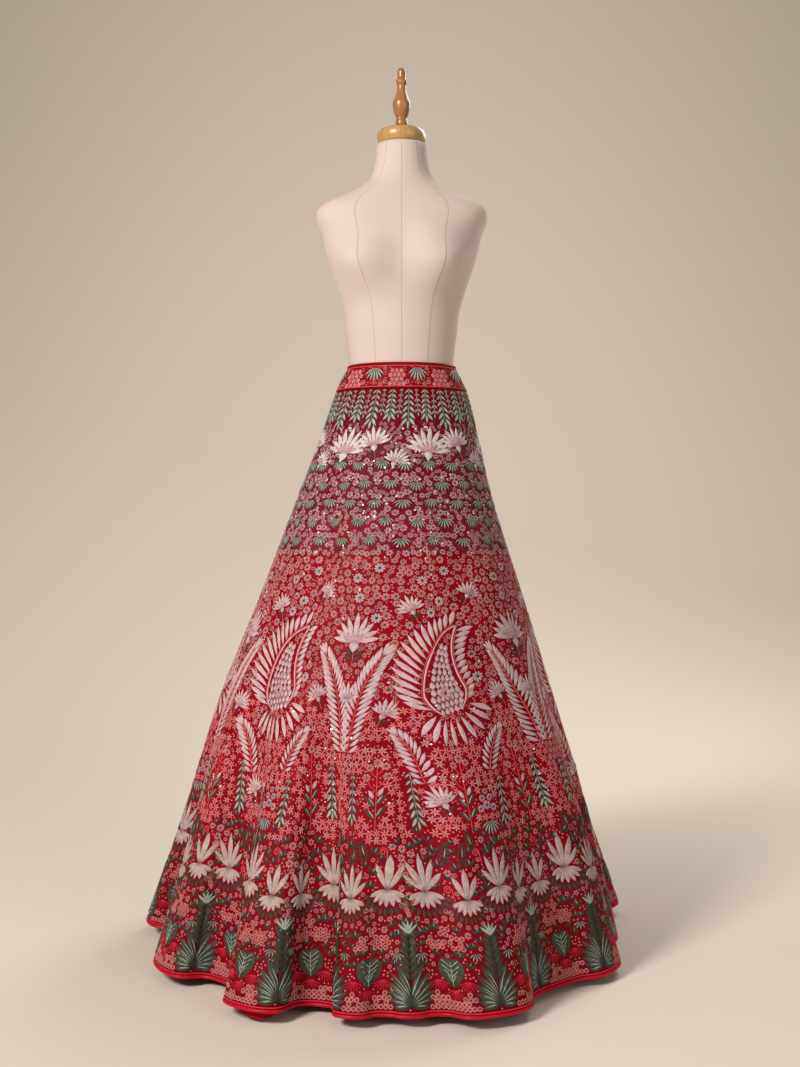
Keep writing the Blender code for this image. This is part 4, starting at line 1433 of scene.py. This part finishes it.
def form(finish, seam_finish):
    """The dress form's body, with the seams of its cover."""
    rows, columns = 110, 96
    heights = np.linspace(FORM_SECTIONS[0, 0], FORM_SECTIONS[-1, 0], rows + 1)
    height, turn = np.meshgrid(heights, np.linspace(0, TAU, columns + 1), indexing="ij")
    points = form_points(height, turn).reshape(-1, 3)
    bottom, top, first = len(points), len(points) + 1, rows * (columns + 1)
    points = np.concatenate([points, [[0, 0, heights[0]], [0, 0, heights[-1]]]])
    k = np.arange(columns)
    low = np.stack([k + 1, k, np.full(columns, bottom)], axis=1)
    high = np.stack([first + k, first + k + 1, np.full(columns, top)], axis=1)
    tris = np.concatenate([grid_tris(rows, columns), low, high])
    mesh_object("form_cloth", points, tris, [finish], "form_torso")
    fine = np.linspace(heights[2], heights[-1] - 2 * MM, 200)
    lines = []
    # Each seam's turn in degrees, and how far it swings towards the shoulder
    seams = (0, 0), (180, 0), (92, 0), (268, 0), (34, 0.30), (326, -0.30), (146, -0.30), (214, 0.30)
    for angle, swing in seams:
        at = np.radians(angle) + swing * np.exp(-(((fine - 1.44) / 0.07) ** 2))
        reach = np.linalg.norm(form_points(fine, at)[:, :2], axis=1)
        strip = []
        for shift, out in ((-0.9, -0.1), (0.0, 0.5), (0.9, -0.1)):
            place = form_points(fine, at + shift * MM / reach)
            strip.append(place + level(place) * out * MM)
        points = np.stack(strip, axis=1).reshape(-1, 3)
        lines.append(Motif(points, grid_tris(len(fine) - 1, 2), points[:, :2]))
    seams = joined(lines)
    mesh_object("form_seams", seams.points, seams.tris, [seam_finish])


def turned(name, node, outline, finish, sides):
    """A piece turned about the stand's axis from an outline of (height, radius)."""
    turn = np.linspace(0, TAU, sides + 1)
    rings = [polar(radius, turn, height) for height, radius in outline]
    tris = grid_tris(len(outline) - 1, sides)
    mesh_object(name, np.concatenate(rings), tris, [finish], node)


def cap_and_finial(cap_finish, finial_finish):
    """The wooden cap and its turned finial."""
    top = CAP_BOTTOM + CAP_HEIGHT
    outline = [(CAP_BOTTOM, 0.012), (CAP_BOTTOM, CAP_RADIUS * 0.89)]
    for angle in math.pi * np.arange(1, 24) / 24:
        height = CAP_BOTTOM + CAP_HEIGHT * (1 - math.cos(angle)) / 2
        outline.append((height, CAP_RADIUS * (0.62 + 0.38 * math.sin(angle) ** 0.55)))
    outline += [(top, CAP_RADIUS * 0.56), (top, 0.5 * MM)]
    turned("cap_wood", "form_cap", outline, cap_finish, 96)
    corners = np.array(FINIAL) * MM
    way = way_along(corners)
    at = np.linspace(0, way[-1], 110)
    heights, radii = (through(way, column, at) for column in corners.T)
    outline = [(0.0, 0.5 * MM), *zip(heights, radii), (corners[-1, 0], 0.2 * MM)]
    turned("finial_wood", "form_finial", [(top + SEAM + h, r) for h, r in outline], finial_finish, 64)


def lining(surface, finish):
    """The fold of lining that hangs below the hem at the front left."""
    across = np.linspace(0, 1, 41)
    share = LINING_START + across * LINING_RUN
    upper, lower, outside = (
        surface.at(share, np.full_like(share, height), out)
        for height, out in ((LINING_TOP, 0), (HEM, 0), (HEM, 0.01))
    )
    inward = -level(outside - lower)
    edge = np.where(across < 0.62, across / 0.62, (1 - across) / 0.38)
    lowest = 0.016 - 0.011 * edge**1.5
    steps = np.linspace(1, 0, 25)
    outer = []
    for step in steps:
        down = 0.12 + 0.88 * step
        ripple = 1.6 * MM * step * np.sin(across * 17 + 3 * step)
        point = upper * (1 - down) + lower * down
        point = point + inward * (CLOTH + 1.3 * MM + 0.010 * step**1.5 + ripple * step)[:, None]
        point[:, 2] += step**2 * (lowest - point[:, 2])
        outer.append(point)
    outer = np.array(outer)
    up, across = np.meshgrid(1 - steps, across, indexing="ij")
    inner = outer + inward[None] * LINING_CLOTH
    piece = wall("lining_cloth", outer, inner, [finish], "lining_flap", across, up)


def stage(finish):
    """A pale floor that curves up behind."""
    turn = np.linspace(0, math.pi / 2, 24)[1:]
    profile = [(-24.0, 0.0), (1.9, 0.0)]
    profile += [(1.9 + 7.0 * math.sin(a), 7.0 - 7.0 * math.cos(a)) for a in turn]
    profile += [(8.9, 16.0)]
    mesh = bpy.data.meshes.new("floor")
    points = [(x, y, z) for y, z in profile for x in (-24.0, 24.0)]
    mesh.from_pydata(points, [], grid_tris(len(profile) - 1, 1).tolist())
    mesh.materials.append(finish)
    mesh.shade_smooth()
    placed("floor", mesh)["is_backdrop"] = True


def area_light(name, place, target, size, power, colour):
    """A soft square light that faces a point."""
    data = bpy.data.lights.new(name, "AREA")
    data.shape = "SQUARE"
    data.size, data.energy, data.color = size, power, colour
    light = placed(name, data)
    light.rotation_euler = (Vector(target) - Vector(place)).to_track_quat("-Z", "Y").to_euler()
    light.location = place


def camera():
    """A level camera in front of the form, with colours kept as a photograph shows them."""
    data = bpy.data.cameras.new("camera")
    data.sensor_fit = "VERTICAL"
    data.sensor_height = SENSOR
    data.lens = SENSOR * FOCAL_PIXELS / PHOTO_PIXELS_HIGH
    made = placed("camera", data)
    made.location = (-0.003, -CAMERA_AWAY, CAMERA_HEIGHT)
    made.rotation_euler = (math.pi / 2, 0, 0)
    bpy.context.scene.camera = made
    bpy.context.scene.view_settings.view_transform = "Standard"


def world():
    """Even pale light all round."""
    made = bpy.data.worlds.new("studio")
    made.use_nodes = True
    background = made.node_tree.nodes["Background"]
    background.inputs["Color"].default_value = (1.0, 0.97, 0.93, 1.0)
    background.inputs["Strength"].default_value = 0.20
    bpy.context.scene.world = made


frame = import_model()
cad_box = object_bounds()

camera()
world()
stage(plain("floor_pale", FLOOR, 0.9))
area_light("key", (-2.3, -2.9, 2.8), (0, 0, 0.75), 1.0, 158, (1.0, 0.97, 0.93))
area_light("fill", (3.0, -3.6, 1.8), (0, 0, 0.7), 2.2, 30, (1.0, 0.98, 0.96))
area_light("back", (1.6, 2.0, 2.9), (0, 0, 0.7), 1.8, 50, (1.0, 0.98, 0.96))
area_light("backdrop", (0, 2.6, 5.2), (0, 8.5, 2.2), 4.0, 150, (1.0, 0.93, 0.84))

threads = {name: thread(name, *look) for name, look in THREADS.items()}
threads["bead"] = plain("bead_dark", BEAD_DARK, 0.25)
# The sequins are mostly non-metal and nearly white: a painted glint in place of a metal's reflection
threads["sequin"] = plain("sequin_silver", SEQUIN_PAINTED_GLINT, 0.20, Metallic=0.15, Coat_Weight=1.0)
lining_finish = plain("silk_lining", LINING_RED, 0.55, Specular_IOR_Level=0.08)

surface, band = skirt_surface(), band_surface()
kali = Kali(surface)
form(linen("linen_ivory"), plain("linen_seam", scaled_colour(IVORY, 0.72), 0.9))
cap_and_finial(wood("wood_cap", PALE_WOOD, 0.62), wood("wood_finial", FINIAL_WOOD, 0.5))
# The band's silk has no painted shade
waistband(band, silk("silk_band", panel=False))
skirt_panels(surface, kali, silk("silk_crimson"), lining_finish)
piping(
    surface,
    plain("silk_piping_dark", PIPING_DARK, 0.42, Specular_IOR_Level=0.12),
    plain("silk_piping", PIPING_RED, 0.42, Specular_IOR_Level=0.12),
)
lining(surface, lining_finish)
steel = plain("steel_satin", STEEL, 0.35, Metallic=1.0)
for node in ("stand_foot", "stand_pole", "stand_flange"):
    for place in frame["nodes"][node].material_slots:
        place.material = steel


def chart_from(left):
    """A chart of half the sheet's width that starts at left."""
    return lambda x, y: np.stack([left + x / CHART_WIDTH + 0.25, y / CHART_HEIGHT], axis=1)


panel_designs, seam_design = drawn_cloth(kali)
for colour, finish in threads.items():
    lots = [
        (panel.work[colour], kali.places(0.5), range(kind, PANELS, 2), chart_from(0.5 * kind))
        for kind, panel in enumerate(panel_designs)
        if colour in panel.work
    ]
    sewn(f"work_{colour}", surface, finish, lots)
for colour, motifs in seam_design.work.items():
    lots = [(motifs, kali.places(0), range(PANELS), chart_from(0.25))]
    sewn(f"seam_work_{colour}", surface, threads[colour], lots)
band_work(band, threads)

boxes = [[list(map(float, corner)) for corner in box] for box in (cad_box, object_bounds())]
